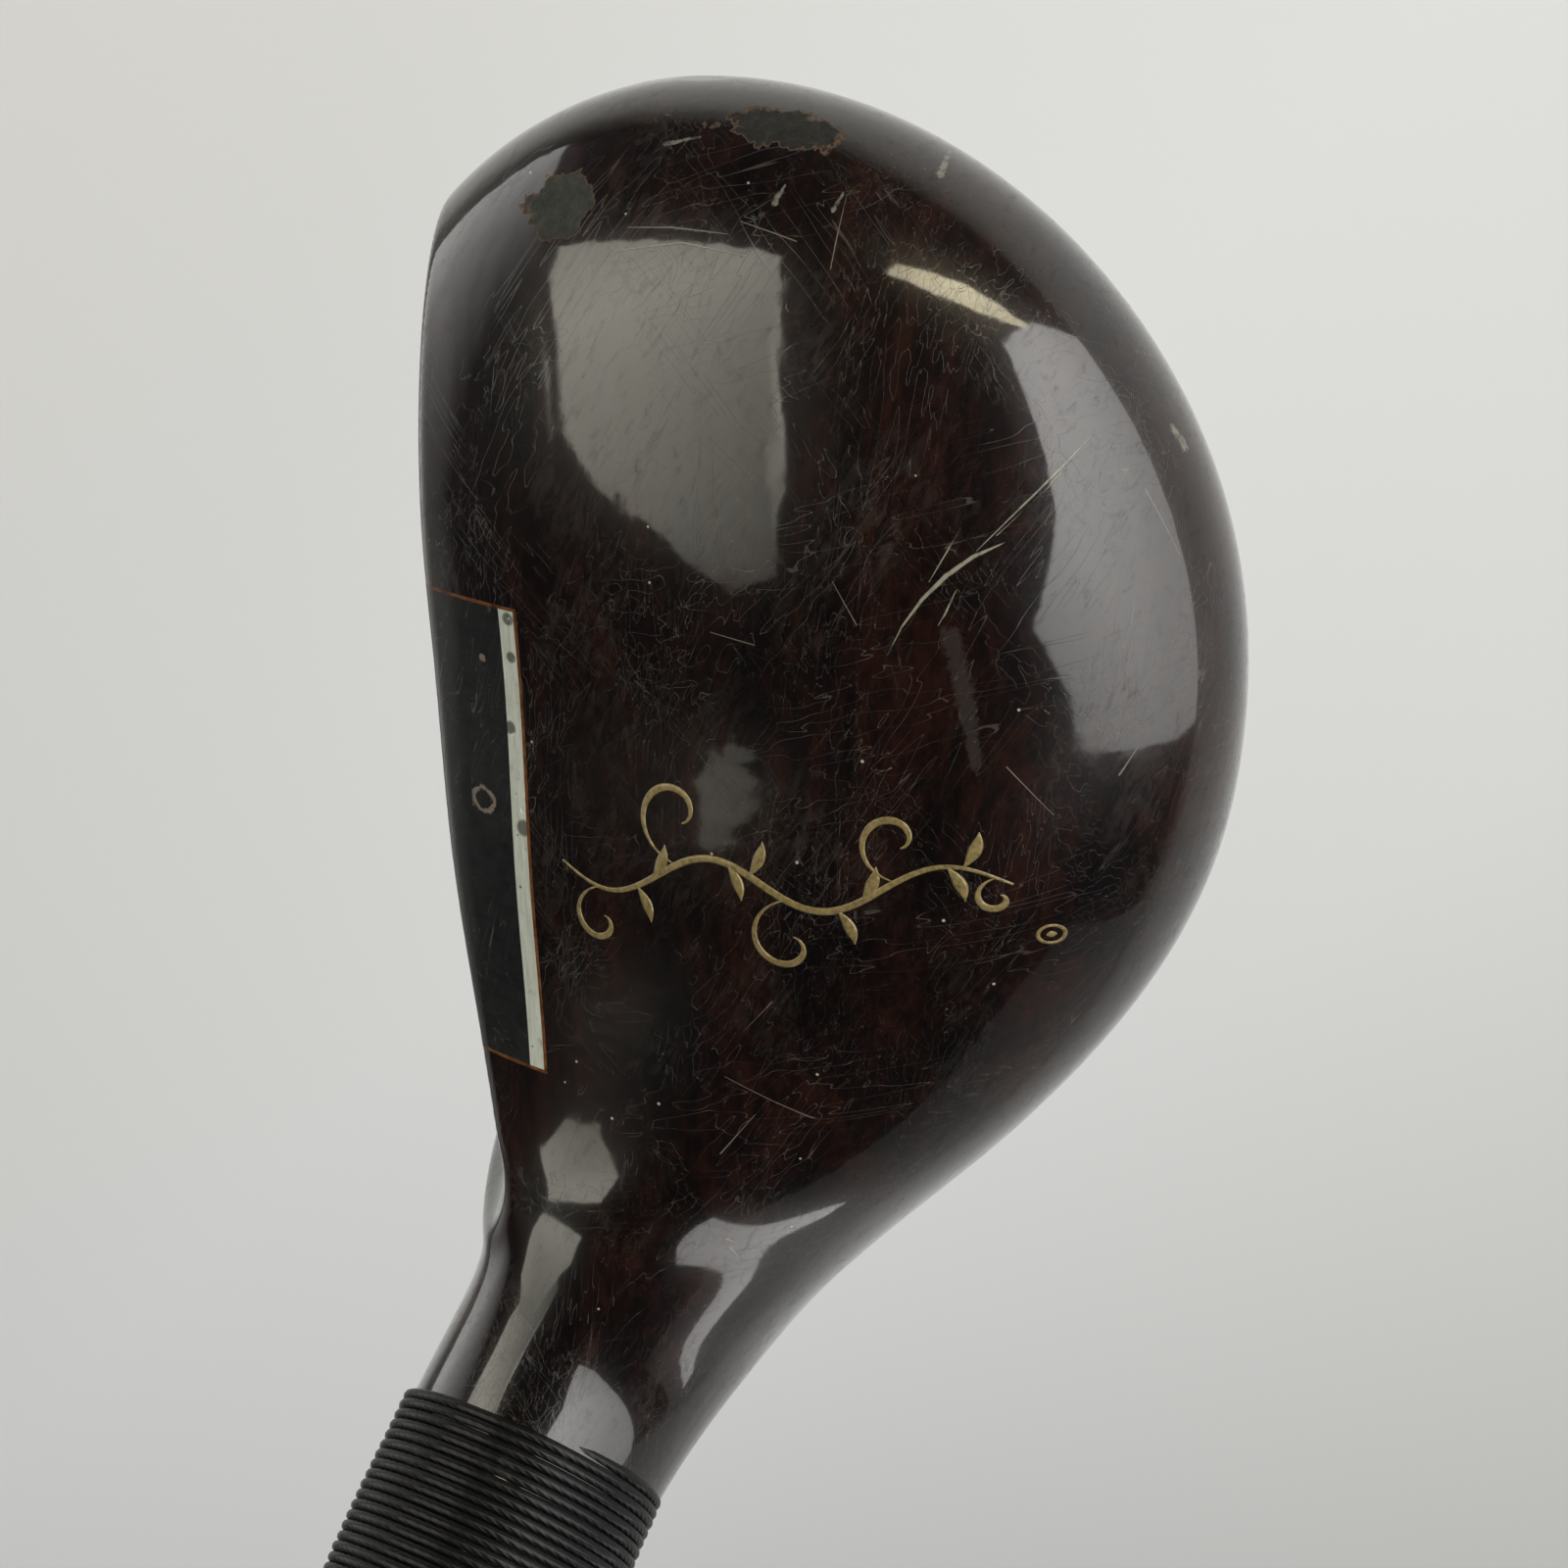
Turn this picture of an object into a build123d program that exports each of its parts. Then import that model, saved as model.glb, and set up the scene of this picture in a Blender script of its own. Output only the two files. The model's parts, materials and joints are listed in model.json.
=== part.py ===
from build123d import *
import os
from math import cos, pi, radians, sin, sqrt, tan

# Fairway wood in address position, in millimetres. The sole rests on z = 0, the face looks
# to -Y, the toe points to -X and the shaft rises towards +X. The origin is the centre of
# the flat of the sole plate.

# Whole club
club_length = 1067.0
lie = 58.0
face_tilt = 22.0
heel = (35.7, -17.9, 0.0)

# Head: plain cross-sections at constant x, from toe to heel side
# x, front, back, middle, top, bottom, height of the widest line, front and back fullness
toe_x = -58.0
toe_tip = (-2.7, 14.8)
cross_sections = [
    (-14.0, -42.0, 41.3, -2.7, 35.6, -5.0, 15.2, 2.55, 2.07),
    (2.0, -42.0, 39.1, -4.0, 38.2, -4.5, 14.6, 2.55, 2.07),
    (17.0, -41.0, 32.4, -8.0, 39.4, -3.0, 15.6, 2.45, 2.02),
]
toe_steps = (3, 9, 17, 27, 38, 50, 63, 76)

# Head: sections that fan round a line above the heel, where the body turns into the neck
# tilt, distance to top, to the widest line and to the bottom, front, back, middle, fullness
fan_pivot = (27.6, 77.1)
fan_sections = [
    (4.0, 35.6, 60.0, 78.0, -38.4, 21.3, -11.0, 2.2),
    (20.0, 36.3, 56.0, 78.0, -28.2, 6.5, -15.0, 2.0),
    (33.0, 36.4, 53.2, 73.0, -29.2, -2.6, -16.4, 2.0),
    (45.0, 36.1, 49.2, 64.0, -30.2, -5.3, -17.8, 2.0),
]

# Neck: distance along the shaft axis and radius of the wood
neck_sections = [(62.0, 12.2), (75.0, 11.7), (90.0, 10.4), (103.0, 9.1), (115.0, 8.2)]
outline_points = 32

# Face: bulge from heel to toe, roll from top to bottom, and the curl at the heel
face_y = -29.8
face_z = 18.0
face_x = -2.0
bulge_radius = 326.0
roll_radius = 300.0
curl_x = 24.0
curl_radius = 12.5
curl_angle = 80.0
face_edge_radius = 1.2

# Face cutter: how far it swings to each side, and its low, high and outer limits
toe_swing = 14.0
cutter_low = -15.0
cutter_high = 65.0
cutter_depth = 70.0

# Sole
flat_half_width = 15.0
camber_radius = 220.0
sole_edge_radius = 3.0
sole_reach = 80.0
sole_cut_depth = 30.0

# Face insert, its white spacer and the bedding of glue round both
insert_toe_x = -20.0
insert_heel_x = 20.6
seat_y = -20.3
insert_yaw = 2.4
insert_height = 100.0
insert_reach = 40.0
spacer_thickness = 1.4
bedding = 0.3
insert_screw_spacing = (18.0, 13.0)
insert_screw_head = 5.6
insert_screw_shank = 2.8
insert_screw_length = 17.0
screw_stand = 4.0
screw_rim = 0.3

# Sole plate, its screws and the weight under it
plate_half_width = 23.0
plate_back = 16.0
plate_side_end = -12.0
plate_front = -50.0
plate_overcut = 5.0
plate_thickness = 2.4
plate_screws = [(-16.0, -16.0), (16.0, -16.0), (-11.5, 6.0), (11.5, 6.0)]
screw_head = 7.0
screw_shank = 3.5
screw_length = 15.0
slot_width = 1.0
slot_depth = 0.9
slot_turn = 35.0
weight_radius = 8.0
weight_depth = 9.0
weight_y = -4.0

# Shaft and what is on its lower end
tip_radius = 4.25
butt_radius = 7.62
tip_overcut = 5.0
wall = 0.45
first_step = 255.0
step_pitch = 36.0
step_count = 16
step_taper = 1.2
plug_length = 22.0
pin_radius = 1.0
pin_place = 84.0
pin_half_length = 10.2
thread = 0.95
whipping_start = 50.0
neck_top = 115.0
collar_length = 22.0
collar_lip = 0.5
collar_hollow = 0.7

# Grip
grip_length = 270.0
grip_mouth_radius = 10.2
grip_end_radius = 13.6
mouth_ring_length = 7.0
mouth_ring_height = 0.6
flare_start = 14.0
flare_height = 0.8
cap_thickness = 4.5
cap_edge_radius = 2.0
tape_thickness = 0.3
tape_setback = 4.0
vent_radius = 1.5

os.makedirs("parts", exist_ok=True)


def turned_plane(origin, angle):
    """Plane across the club: its x is +Y, its normal leans up from +X by the angle."""
    normal = (cos(radians(angle)), 0, sin(radians(angle)))
    return Plane(origin=origin, x_dir=(0, 1, 0), z_dir=normal)


def quarter_curves(front, back, top, bottom, n_front, n_back):
    """Points of a closed outline made of four superellipse quarters."""
    points = []
    for step in range(outline_points):
        angle = 2 * pi * step / outline_points
        c, s = cos(angle), sin(angle)
        power = 2 / (n_front if c > 0 else n_back)
        reach = -front if c > 0 else back
        rise = top if s > 0 else -bottom
        points.append((reach * abs(c) ** power, rise * abs(s) ** power))
    return points


def rim(faces):
    """Edges round a group of faces, without the edges between two of them."""
    edges = faces.edges()
    return [edge for edge in edges if sum(edge.is_same(other) for other in edges) == 1]


def save(builder, name):
    """Label a finished piece and write it under its own name."""
    builder.part.label = name
    export_step(builder.part, f"parts/{name}.step")


# Stations of the head, each a plane with front, back, top and bottom reach and two powers
stations = []
x_0, front_0, back_0, mid_0, top_0, bottom_0, wide_0, n_front_0, n_back_0 = cross_sections[0]
for step in toe_steps:
    size = sin(radians(step))
    x = x_0 + (toe_x - x_0) * cos(radians(step))
    origin = (x, toe_tip[0] + (mid_0 - toe_tip[0]) * size, toe_tip[1] + (wide_0 - toe_tip[1]) * size)
    reach = (mid_0 - front_0, back_0 - mid_0, top_0 - wide_0, wide_0 - bottom_0)
    stations.append((turned_plane(origin, 0), *[size * side for side in reach], n_front_0, n_back_0))
for x, front, back, mid, top, bottom, wide, n_front, n_back in cross_sections:
    plane = turned_plane((x, mid, wide), 0)
    stations.append((plane, mid - front, back - mid, top - wide, wide - bottom, n_front, n_back))
for tilt, to_top, to_wide, to_bottom, front, back, mid, n_front in fan_sections:
    lean = radians(tilt)
    origin = (fan_pivot[0] + to_wide * sin(lean), mid, fan_pivot[1] - to_wide * cos(lean))
    reach = (mid - front, back - mid, to_wide - to_top, to_bottom - to_wide)
    stations.append((turned_plane(origin, tilt), *reach, n_front, 2.0))
shaft_axis = Axis(heel, (cos(radians(lie)), 0, sin(radians(lie))))
for along, radius in neck_sections:
    centre = Vector(*heel) + shaft_axis.direction * along
    stations.append((turned_plane(centre, lie), radius, radius, radius, radius, 2.0, 2.0))

# Sketch plane of everything turned about the shaft: x is the radius, y runs up the shaft
shaft_plane = Plane(origin=heel, x_dir=(-sin(radians(lie)), 0, cos(radians(lie))), z_dir=(0, 1, 0))


def face_reach(z):
    """Radius of the face from the bulge axis at the height z."""
    rise = z - face_z
    return bulge_radius - rise * tan(radians(face_tilt)) - rise * rise / (2 * roll_radius)


# Cutter in front of the face: a roll arc turned about the bulge axis, closed off at the heel
swing = radians(toe_swing)
bulge_centre = (face_x, face_y + bulge_radius, 0)
swung_plane = Plane(
    origin=bulge_centre,
    x_dir=(-sin(swing), -cos(swing), 0),
    z_dir=(-cos(swing), sin(swing), 0),
)

with BuildPart() as face_cutter:
    with BuildSketch(swung_plane):
        outer = bulge_radius + cutter_depth
        with BuildLine():
            roll = ThreePointArc(
                (face_reach(cutter_low), cutter_low),
                (face_reach(face_z), face_z),
                (face_reach(cutter_high), cutter_high),
            )
            Polyline(roll @ 1, (outer, cutter_high), (outer, cutter_low), roll @ 0)
        make_face()
    revolve(axis=Axis(bulge_centre, (0, 0, 1)), revolution_arc=2 * toe_swing)
    curl = radians(curl_angle)
    heel_normal = Vector(sin(curl), 0, -cos(curl))
    heel_end = Plane(origin=Vector(curl_x, 0, 0) + heel_normal * curl_radius, z_dir=heel_normal)
    split(bisect_by=heel_end, keep=Keep.BOTTOM)
    heel_face = face_cutter.faces().sort_by(Axis(heel_end.origin, heel_normal))[-1]
    fillet(heel_face.edges().sort_by(Axis.Y)[-1], radius=curl_radius)

# Cutter under the sole: flat in the middle, cambered towards toe and heel
with BuildPart() as sole_cutter:
    with BuildSketch(Plane.XZ):
        rise = camber_radius - sqrt(camber_radius**2 - (sole_reach - flat_half_width) ** 2)
        with BuildLine():
            Line((-flat_half_width, 0), (flat_half_width, 0))
            heel_camber = TangentArc((flat_half_width, 0), (sole_reach, rise), tangent=(1, 0))
            toe_camber = TangentArc((-flat_half_width, 0), (-sole_reach, rise), tangent=(-1, 0))
            Polyline(
                heel_camber @ 1,
                (sole_reach, -sole_cut_depth),
                (-sole_reach, -sole_cut_depth),
                toe_camber @ 1,
            )
        make_face()
    extrude(amount=sole_reach, both=True)

# Outer shape of the head, before anything is let into it
with BuildPart() as blank:
    for plane, front, back, top, bottom, n_front, n_back in stations:
        with BuildSketch(plane):
            with BuildLine():
                Spline(quarter_curves(front, back, top, bottom, n_front, n_back), periodic=True)
            make_face()
    loft()
    add(face_cutter.part, mode=Mode.SUBTRACT)
    add(sole_cutter.part, mode=Mode.SUBTRACT)
    fillet(rim(blank.faces().filter_by(lambda face: face.normal_at().Y < -0.7)), face_edge_radius)
    fillet(rim(blank.faces().filter_by(lambda face: face.normal_at().Z < -0.9)), sole_edge_radius)

# Plane of the insert's seat: x towards the heel, y up the face, z out of the face
seat_x = Vector(1, 0, 0).rotate(Axis.Z, -insert_yaw)
seat_z = Vector(0, -cos(radians(face_tilt)), sin(radians(face_tilt))).rotate(Axis.Z, -insert_yaw)
seat = Plane(origin=(0, seat_y, face_z), x_dir=seat_x, z_dir=seat_z)
insert_width = insert_heel_x - insert_toe_x
insert_middle = (insert_heel_x + insert_toe_x) / 2

# Tool of the sole plate: its plan outline, as deep as the recess, reaching past the face
with BuildPart() as plate_tool:
    with BuildSketch(Plane.XY.offset(-plate_overcut)):
        with BuildLine():
            heel_corner = (plate_half_width, plate_side_end)
            toe_corner = (-plate_half_width, plate_side_end)
            ThreePointArc(toe_corner, (0, plate_back), heel_corner)
            Polyline(
                heel_corner,
                (plate_half_width, plate_front),
                (-plate_half_width, plate_front),
                toe_corner,
            )
        make_face()
    extrude(amount=plate_overcut + plate_thickness)


def wood_screw(head, shank, length):
    """Flat-head wood screw pointing down -Z, its head's rim at z = 0 and carried on above it."""
    with BuildPart(mode=Mode.PRIVATE) as screw:
        with BuildSketch(Plane.XZ):
            with BuildLine():
                Polyline(
                    (0, screw_stand),
                    (head / 2, screw_stand),
                    (head / 2, -screw_rim),
                    (shank / 2, -screw_rim - (head - shank) / 2),
                    (shank / 2, -length * 0.75),
                    (shank / 10, -length),
                    (0, -length),
                    close=True,
                )
            make_face()
        revolve(axis=Axis.Z)
    return screw.part


sole_screw = wood_screw(screw_head, screw_shank, screw_length).rotate(Axis.X, 180)
face_screw = wood_screw(insert_screw_head, insert_screw_shank, insert_screw_length)
face_level = (seat_y - face_y) * cos(radians(face_tilt))
insert_screws = seat.offset(face_level)

with BuildPart() as sole_screw_tool:
    with Locations([(x, y, 0) for x, y in plate_screws]):
        add(sole_screw)

with BuildPart() as face_screw_tool:
    with Locations(insert_screws):
        with GridLocations(*insert_screw_spacing, 2, 2):
            add(face_screw)

# Turned shapes on the shaft axis: the shaft's outside, its hollow and the whipping's outside
steps = [(tip_radius, -tip_overcut)]
for number in range(step_count):
    height = first_step + number * step_pitch
    small = tip_radius + (butt_radius - tip_radius) * number / step_count
    large = tip_radius + (butt_radius - tip_radius) * (number + 1) / step_count
    steps += [(small, height), (large, height + step_taper)]
shaft_end = club_length - cap_thickness
steps.append((butt_radius, shaft_end))

with BuildPart() as shaft_form:
    with BuildSketch(shaft_plane):
        with BuildLine():
            Polyline((0, -tip_overcut), *steps, (0, shaft_end), close=True)
        make_face()
    revolve(axis=shaft_axis)

with BuildPart() as hollow_form:
    with BuildSketch(shaft_plane):
        with BuildLine():
            inside = [(radius - wall, along) for radius, along in steps]
            Polyline((0, -tip_overcut), *inside, (0, shaft_end), close=True)
        make_face()
    revolve(axis=shaft_axis)

with BuildPart() as pin_form:
    with BuildSketch(Plane(origin=Vector(*heel) + shaft_axis.direction * pin_place, z_dir=(0, 1, 0))):
        Circle(pin_radius)
    extrude(amount=pin_half_length, both=True)

with BuildPart() as weight_form:
    with BuildSketch(Plane.XY.offset(plate_thickness)):
        with Locations((0, weight_y)):
            Circle(weight_radius)
    extrude(amount=weight_depth)

# Pieces let into the face
with BuildPart() as insert_pocket:
    with BuildSketch(seat.offset(-bedding)):
        with Locations((insert_middle, 0)):
            Rectangle(insert_width + 2 * bedding, insert_height)
    extrude(amount=insert_reach)

with BuildPart() as insert_space:
    with BuildSketch(seat):
        with Locations((insert_middle, 0)):
            Rectangle(insert_width, insert_height)
    extrude(amount=insert_reach)

with BuildPart() as face_insert:
    with BuildSketch(seat.offset(spacer_thickness)):
        with Locations((insert_middle, 0)):
            Rectangle(insert_width, insert_height)
    extrude(amount=insert_reach)
    add(blank.part, mode=Mode.INTERSECT)
    add(plate_tool.part, mode=Mode.SUBTRACT)
    add(face_screw_tool.part, mode=Mode.SUBTRACT)
save(face_insert, "face_insert")

with BuildPart() as insert_spacer:
    with BuildSketch(seat):
        with Locations((insert_middle, 0)):
            Rectangle(insert_width, insert_height)
    extrude(amount=spacer_thickness)
    add(blank.part, mode=Mode.INTERSECT)
    add(plate_tool.part, mode=Mode.SUBTRACT)
    add(face_screw_tool.part, mode=Mode.SUBTRACT)
save(insert_spacer, "insert_spacer")

with BuildPart() as insert_bedding:
    add(insert_pocket.part)
    add(insert_space.part, mode=Mode.SUBTRACT)
    add(blank.part, mode=Mode.INTERSECT)
    add(plate_tool.part, mode=Mode.SUBTRACT)
    add(face_screw_tool.part, mode=Mode.SUBTRACT)
save(insert_bedding, "insert_bedding")

with BuildPart() as face_insert_screws:
    add(face_screw_tool.part)
    add(blank.part, mode=Mode.INTERSECT)
    with BuildSketch(insert_screws.offset(-slot_depth)):
        with GridLocations(*insert_screw_spacing, 2, 2):
            Rectangle(insert_screw_head + 2, slot_width)
    extrude(amount=screw_stand, mode=Mode.SUBTRACT)
save(face_insert_screws, "face_insert_screws")

# Pieces let into the sole
with BuildPart() as sole_plate:
    add(plate_tool.part)
    add(blank.part, mode=Mode.INTERSECT)
    add(sole_screw_tool.part, mode=Mode.SUBTRACT)
save(sole_plate, "sole_plate")

with BuildPart() as sole_plate_screws:
    add(sole_screw_tool.part)
    add(blank.part, mode=Mode.INTERSECT)
    with BuildSketch(Plane.XY.offset(slot_depth)):
        with Locations(plate_screws):
            Rectangle(screw_head + 2, slot_width, rotation=slot_turn)
    extrude(amount=-screw_stand, mode=Mode.SUBTRACT)
save(sole_plate_screws, "sole_plate_screws")

with BuildPart() as sole_weight:
    add(weight_form.part)
save(sole_weight, "sole_weight")

# The head itself, with every pocket and bore cut out of the blank
pockets = (insert_pocket, plate_tool, weight_form, sole_screw_tool, face_screw_tool)
bores = (shaft_form, pin_form)

with BuildPart() as head:
    add(blank.part)
    for tool in pockets + bores:
        add(tool.part, mode=Mode.SUBTRACT)
save(head, "head")

# Shaft and the pieces in and on its lower end
with BuildPart() as shaft:
    add(shaft_form.part)
    add(hollow_form.part, mode=Mode.SUBTRACT)
    add(sole_cutter.part, mode=Mode.SUBTRACT)
    add(pin_form.part, mode=Mode.SUBTRACT)
save(shaft, "shaft")

with BuildPart() as shaft_plug:
    with BuildSketch(shaft_plane):
        with Locations(((tip_radius - wall) / 2, plug_length / 2)):
            Rectangle(tip_radius - wall, plug_length)
    revolve(axis=shaft_axis)
    add(sole_cutter.part, mode=Mode.SUBTRACT)
save(shaft_plug, "shaft_plug")

with BuildPart() as neck_pin:
    add(pin_form.part)
save(neck_pin, "neck_pin")

thread_line = [(radius + thread, along) for along, radius in neck_sections]

with BuildPart() as whipping:
    with BuildSketch(shaft_plane):
        with BuildLine():
            first_turn = (thread_line[0][0], whipping_start)
            Polyline((tip_radius, whipping_start), first_turn, thread_line[0])
            Spline(*thread_line)
            Polyline(thread_line[-1], (tip_radius, neck_top), (tip_radius, whipping_start))
        make_face()
    revolve(axis=shaft_axis)
    add(blank.part, mode=Mode.SUBTRACT)
save(whipping, "whipping")

with BuildPart() as neck_collar:
    with BuildSketch(shaft_plane):
        collar_top = neck_top + collar_length
        collar_radius = thread_line[-1][0]
        with BuildLine():
            Line((tip_radius, neck_top), (collar_radius, neck_top))
            Spline(
                (collar_radius, neck_top),
                (collar_radius - collar_hollow, neck_top + 0.35 * collar_length),
                (tip_radius + collar_lip, collar_top),
            )
            Polyline(
                (tip_radius + collar_lip, collar_top),
                (tip_radius, collar_top),
                (tip_radius, neck_top),
            )
        make_face()
    revolve(axis=shaft_axis)
save(neck_collar, "neck_collar")

# Grip: tape on the shaft, the sleeve over it and its closed cap with a vent
grip_start = club_length - grip_length
tape_radius = butt_radius + tape_thickness

tape_start = grip_start + tape_setback

with BuildPart() as tape_form:
    with BuildSketch(shaft_plane):
        with Locations((tape_radius / 2, (tape_start + shaft_end) / 2)):
            Rectangle(tape_radius, shaft_end - tape_start)
    revolve(axis=shaft_axis)

with BuildPart() as grip_tape:
    add(tape_form.part)
    add(shaft_form.part, mode=Mode.SUBTRACT)
save(grip_tape, "grip_tape")

ring_end = grip_start + mouth_ring_length
sleeve_start = (grip_mouth_radius - mouth_ring_height, ring_end + 2)
sleeve_end = (grip_end_radius - flare_height, shaft_end - flare_start)

with BuildPart() as grip:
    with BuildSketch(shaft_plane):
        with BuildLine():
            Polyline(
                (0, grip_start),
                (grip_mouth_radius - mouth_ring_height, grip_start),
                (grip_mouth_radius, grip_start + 1.5),
                (grip_mouth_radius, ring_end),
                sleeve_start,
            )
            Line(sleeve_start, sleeve_end)
            Spline(
                sleeve_end,
                (grip_end_radius - flare_height / 8, shaft_end - flare_start / 3),
                (grip_end_radius, shaft_end),
            )
            Line((grip_end_radius, shaft_end), (grip_end_radius, club_length - cap_edge_radius))
            cap_corner = (grip_end_radius - cap_edge_radius, club_length)
            RadiusArc((grip_end_radius, club_length - cap_edge_radius), cap_corner, -cap_edge_radius)
            Polyline(cap_corner, (0, club_length), (0, grip_start))
        make_face()
    revolve(axis=shaft_axis)
    add(shaft_form.part, mode=Mode.SUBTRACT)
    add(tape_form.part, mode=Mode.SUBTRACT)
    with BuildSketch(turned_plane(Vector(*heel) + shaft_axis.direction * (shaft_end - 1), lie)):
        Circle(vent_radius)
    extrude(amount=cap_thickness + 2, mode=Mode.SUBTRACT)
save(grip, "grip")
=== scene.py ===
import json
from math import asin, atan2, cos, pi, radians, sin

import bmesh
import bpy
import numpy as np
from mathutils import Matrix, Vector, noise
from mathutils.bvhtree import BVHTree


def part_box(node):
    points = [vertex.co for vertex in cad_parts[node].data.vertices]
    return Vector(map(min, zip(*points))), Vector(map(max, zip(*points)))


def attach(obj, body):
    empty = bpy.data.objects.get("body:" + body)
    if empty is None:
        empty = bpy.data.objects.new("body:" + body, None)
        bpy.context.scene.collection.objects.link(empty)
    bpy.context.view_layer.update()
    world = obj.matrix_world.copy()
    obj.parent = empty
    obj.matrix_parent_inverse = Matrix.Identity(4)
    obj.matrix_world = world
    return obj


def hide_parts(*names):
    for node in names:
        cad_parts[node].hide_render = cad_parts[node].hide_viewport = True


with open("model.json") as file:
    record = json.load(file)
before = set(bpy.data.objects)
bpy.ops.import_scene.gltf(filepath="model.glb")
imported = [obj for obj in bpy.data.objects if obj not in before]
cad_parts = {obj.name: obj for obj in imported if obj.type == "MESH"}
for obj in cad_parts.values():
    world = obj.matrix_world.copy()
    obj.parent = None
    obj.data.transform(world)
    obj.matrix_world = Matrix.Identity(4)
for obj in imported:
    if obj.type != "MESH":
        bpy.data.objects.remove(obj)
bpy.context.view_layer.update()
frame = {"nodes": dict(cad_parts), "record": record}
nodes = frame["nodes"]
MM = 0.001

# The shaft axis, from the frame: it starts where it meets the ground and runs up to the cap
vent = next(mount for mount in frame["record"]["mounts"] if mount["name"] == "grip_vent")
shaft = np.array(vent["axis"]) / np.linalg.norm(vent["axis"])
vent_place = np.array(vent["pos_m"]) / MM
heel = vent_place - shaft * (vent_place[2] / shaft[2])
lie = atan2(shaft[2], shaft[0])
across = np.array((0.0, 1.0, 0.0))
shaft_up = np.array((-sin(lie), 0.0, cos(lie)))
upright = np.array((0.0, 0.0, 1.0))


# -------------------- camera, light and floor

def direction(azimuth, elevation):
    """Unit vector: azimuth counted from +X towards +Y, elevation above the ground."""
    a, e = radians(azimuth), radians(elevation)
    return Vector((cos(a) * cos(e), sin(a) * cos(e), sin(e)))


def make_camera():
    """Looks down on the crown from behind the toe, the toe at the top; fitted to the head's outline."""
    aim = Vector((-0.0028, 0.0053, 0.0250))
    distance, azimuth, elevation, roll = 0.1976, 221.64, 48.98, -129.19
    a, e, r = radians(azimuth), radians(elevation), radians(roll)
    back = Vector((sin(a) * cos(e), -cos(a) * cos(e), sin(e)))
    right = Vector((0, 0, 1)).cross(back).normalized()
    up = back.cross(right)
    right_rolled = right * cos(r) + up * sin(r)
    up_rolled = up * cos(r) - right * sin(r)
    data = bpy.data.cameras.new("camera")
    data.lens = 54.65
    data.sensor_width = 36
    data.clip_start = 0.01
    camera = bpy.data.objects.new("camera", data)
    turn = Matrix((right_rolled, up_rolled, back)).transposed()
    camera.matrix_world = Matrix.Translation(aim + back * distance) @ turn.to_4x4()
    bpy.context.scene.collection.objects.link(camera)
    bpy.context.scene.camera = camera


def new_object(name, data):
    made = bpy.data.objects.new(name, data)
    bpy.context.scene.collection.objects.link(made)
    return made


def card(name, corners, glows, colour, lights_floor=True):
    """Flat glowing card, seen by the gloss but not by the camera. Each corner has its own radiance."""
    mesh = bpy.data.meshes.new(name)
    mesh.from_pydata([tuple(corner) for corner in corners], [], [tuple(range(len(corners)))])
    layer = mesh.attributes.new("glow", "FLOAT", "POINT")
    for value, glow in zip(layer.data, glows):
        value.value = glow
    g = Graph(name)
    g.tree.nodes.remove(g.bsdf)
    emission = g.node("Emission", colour, g.node("Attribute", attribute_name="glow").outputs["Fac"])
    g.tree.links.new(emission.outputs[0], g.tree.nodes["Material Output"].inputs["Surface"])
    mesh.materials.append(g.material)
    made = new_object(name, mesh)
    made.visible_camera = False
    made.visible_shadow = False
    made.visible_diffuse = lights_floor


def far_card(name, places, distance, glows, colour, lights_floor=True):
    """Card whose corners are seen from the head in the given directions."""
    eye = Vector((-0.01, 0.005, 0.033))
    card(name, [eye + direction(*place) * distance for place in places], glows, colour, lights_floor)


def make_lights():
    warm, cool, plain = (1.0, 0.965, 0.83), (1.0, 0.985, 0.96), (1.0, 0.98, 0.95)
    panel = [
        (-1.07, -1.30), (-0.45, -0.91), (-0.17, -0.80), (0.0, -0.62), (0.21, -0.37), (0.13, -0.22),
        (-0.29, -0.17), (-1.12, -0.23),
    ]
    card("ceiling_panel", [(x, y, 1.03) for x, y in panel], [3.3, 4.0, 3.4, 2.2, 0.7, 0.8, 4.4, 3.7], warm)
    window = [(64, -16), (64, 14), (62, 45), (68, 57), (105, 44), (140, 27), (139, 8), (130, -16)]
    far_card("window", window, 1.5, [2.2, 2.7, 2.6, 3.2, 5.0, 5.4, 5.4, 3.6], cool)
    far_card("strip", [(168, 35), (157, 31), (146, 23), (139, 13), (139, 10), (153, 20), (166, 30)], 1.4,
             [7, 11, 12, 9, 8, 13, 8], (1.0, 0.90, 0.62))
    wall = [(-134, -4), (-95, -4), (-58, -4), (-58, 30), (-84, 38), (-104, 35), (-126, 32), (-132, 14)]
    far_card("face_wall", wall, 1.6, [2.2, 2.4, 0.0, 0.0, 0.0, 0.0, 0.0, 1.3], plain, False)
    wall = [(-36, -34), (40, -34), (40, 18), (-36, 18)]
    far_card("heel_wall", wall, 1.5, [0.4, 0.4, 0.15, 0.15], plain, False)
    # Two small cards close to the neck put the long highlights on it: one level, one leaning
    level = 81
    upper = [(38.5, -38), (38.5, -28), (45, -22), (50, -20), (62, -25), (60, -42), (45, -46)]
    glows = [1.6, 1.6, 2.4, 2.6, 2.8, 2.8, 2.8]
    card("neck_card_warm", [Vector((x, y, level)) * MM for x, y in upper], glows, warm)
    facing = direction(12, 22)
    middle = Vector((85, 10, 50))
    outline = [
        (-2, 67), (4, 67), (8, 57), (11, 49), (15, 42), (19, 34), (20, 29), (16, 30), (11, 38), (5, 50),
        (-1, 58),
    ]
    leaning = []
    for y, z in outline:
        x = middle.x - (facing.y * (y - middle.y) + facing.z * (z - middle.z)) / facing.x
        leaning.append(Vector((x, y, z)) * MM)
    card("neck_card_cool", leaning, [2.4] * len(leaning), cool)


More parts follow.
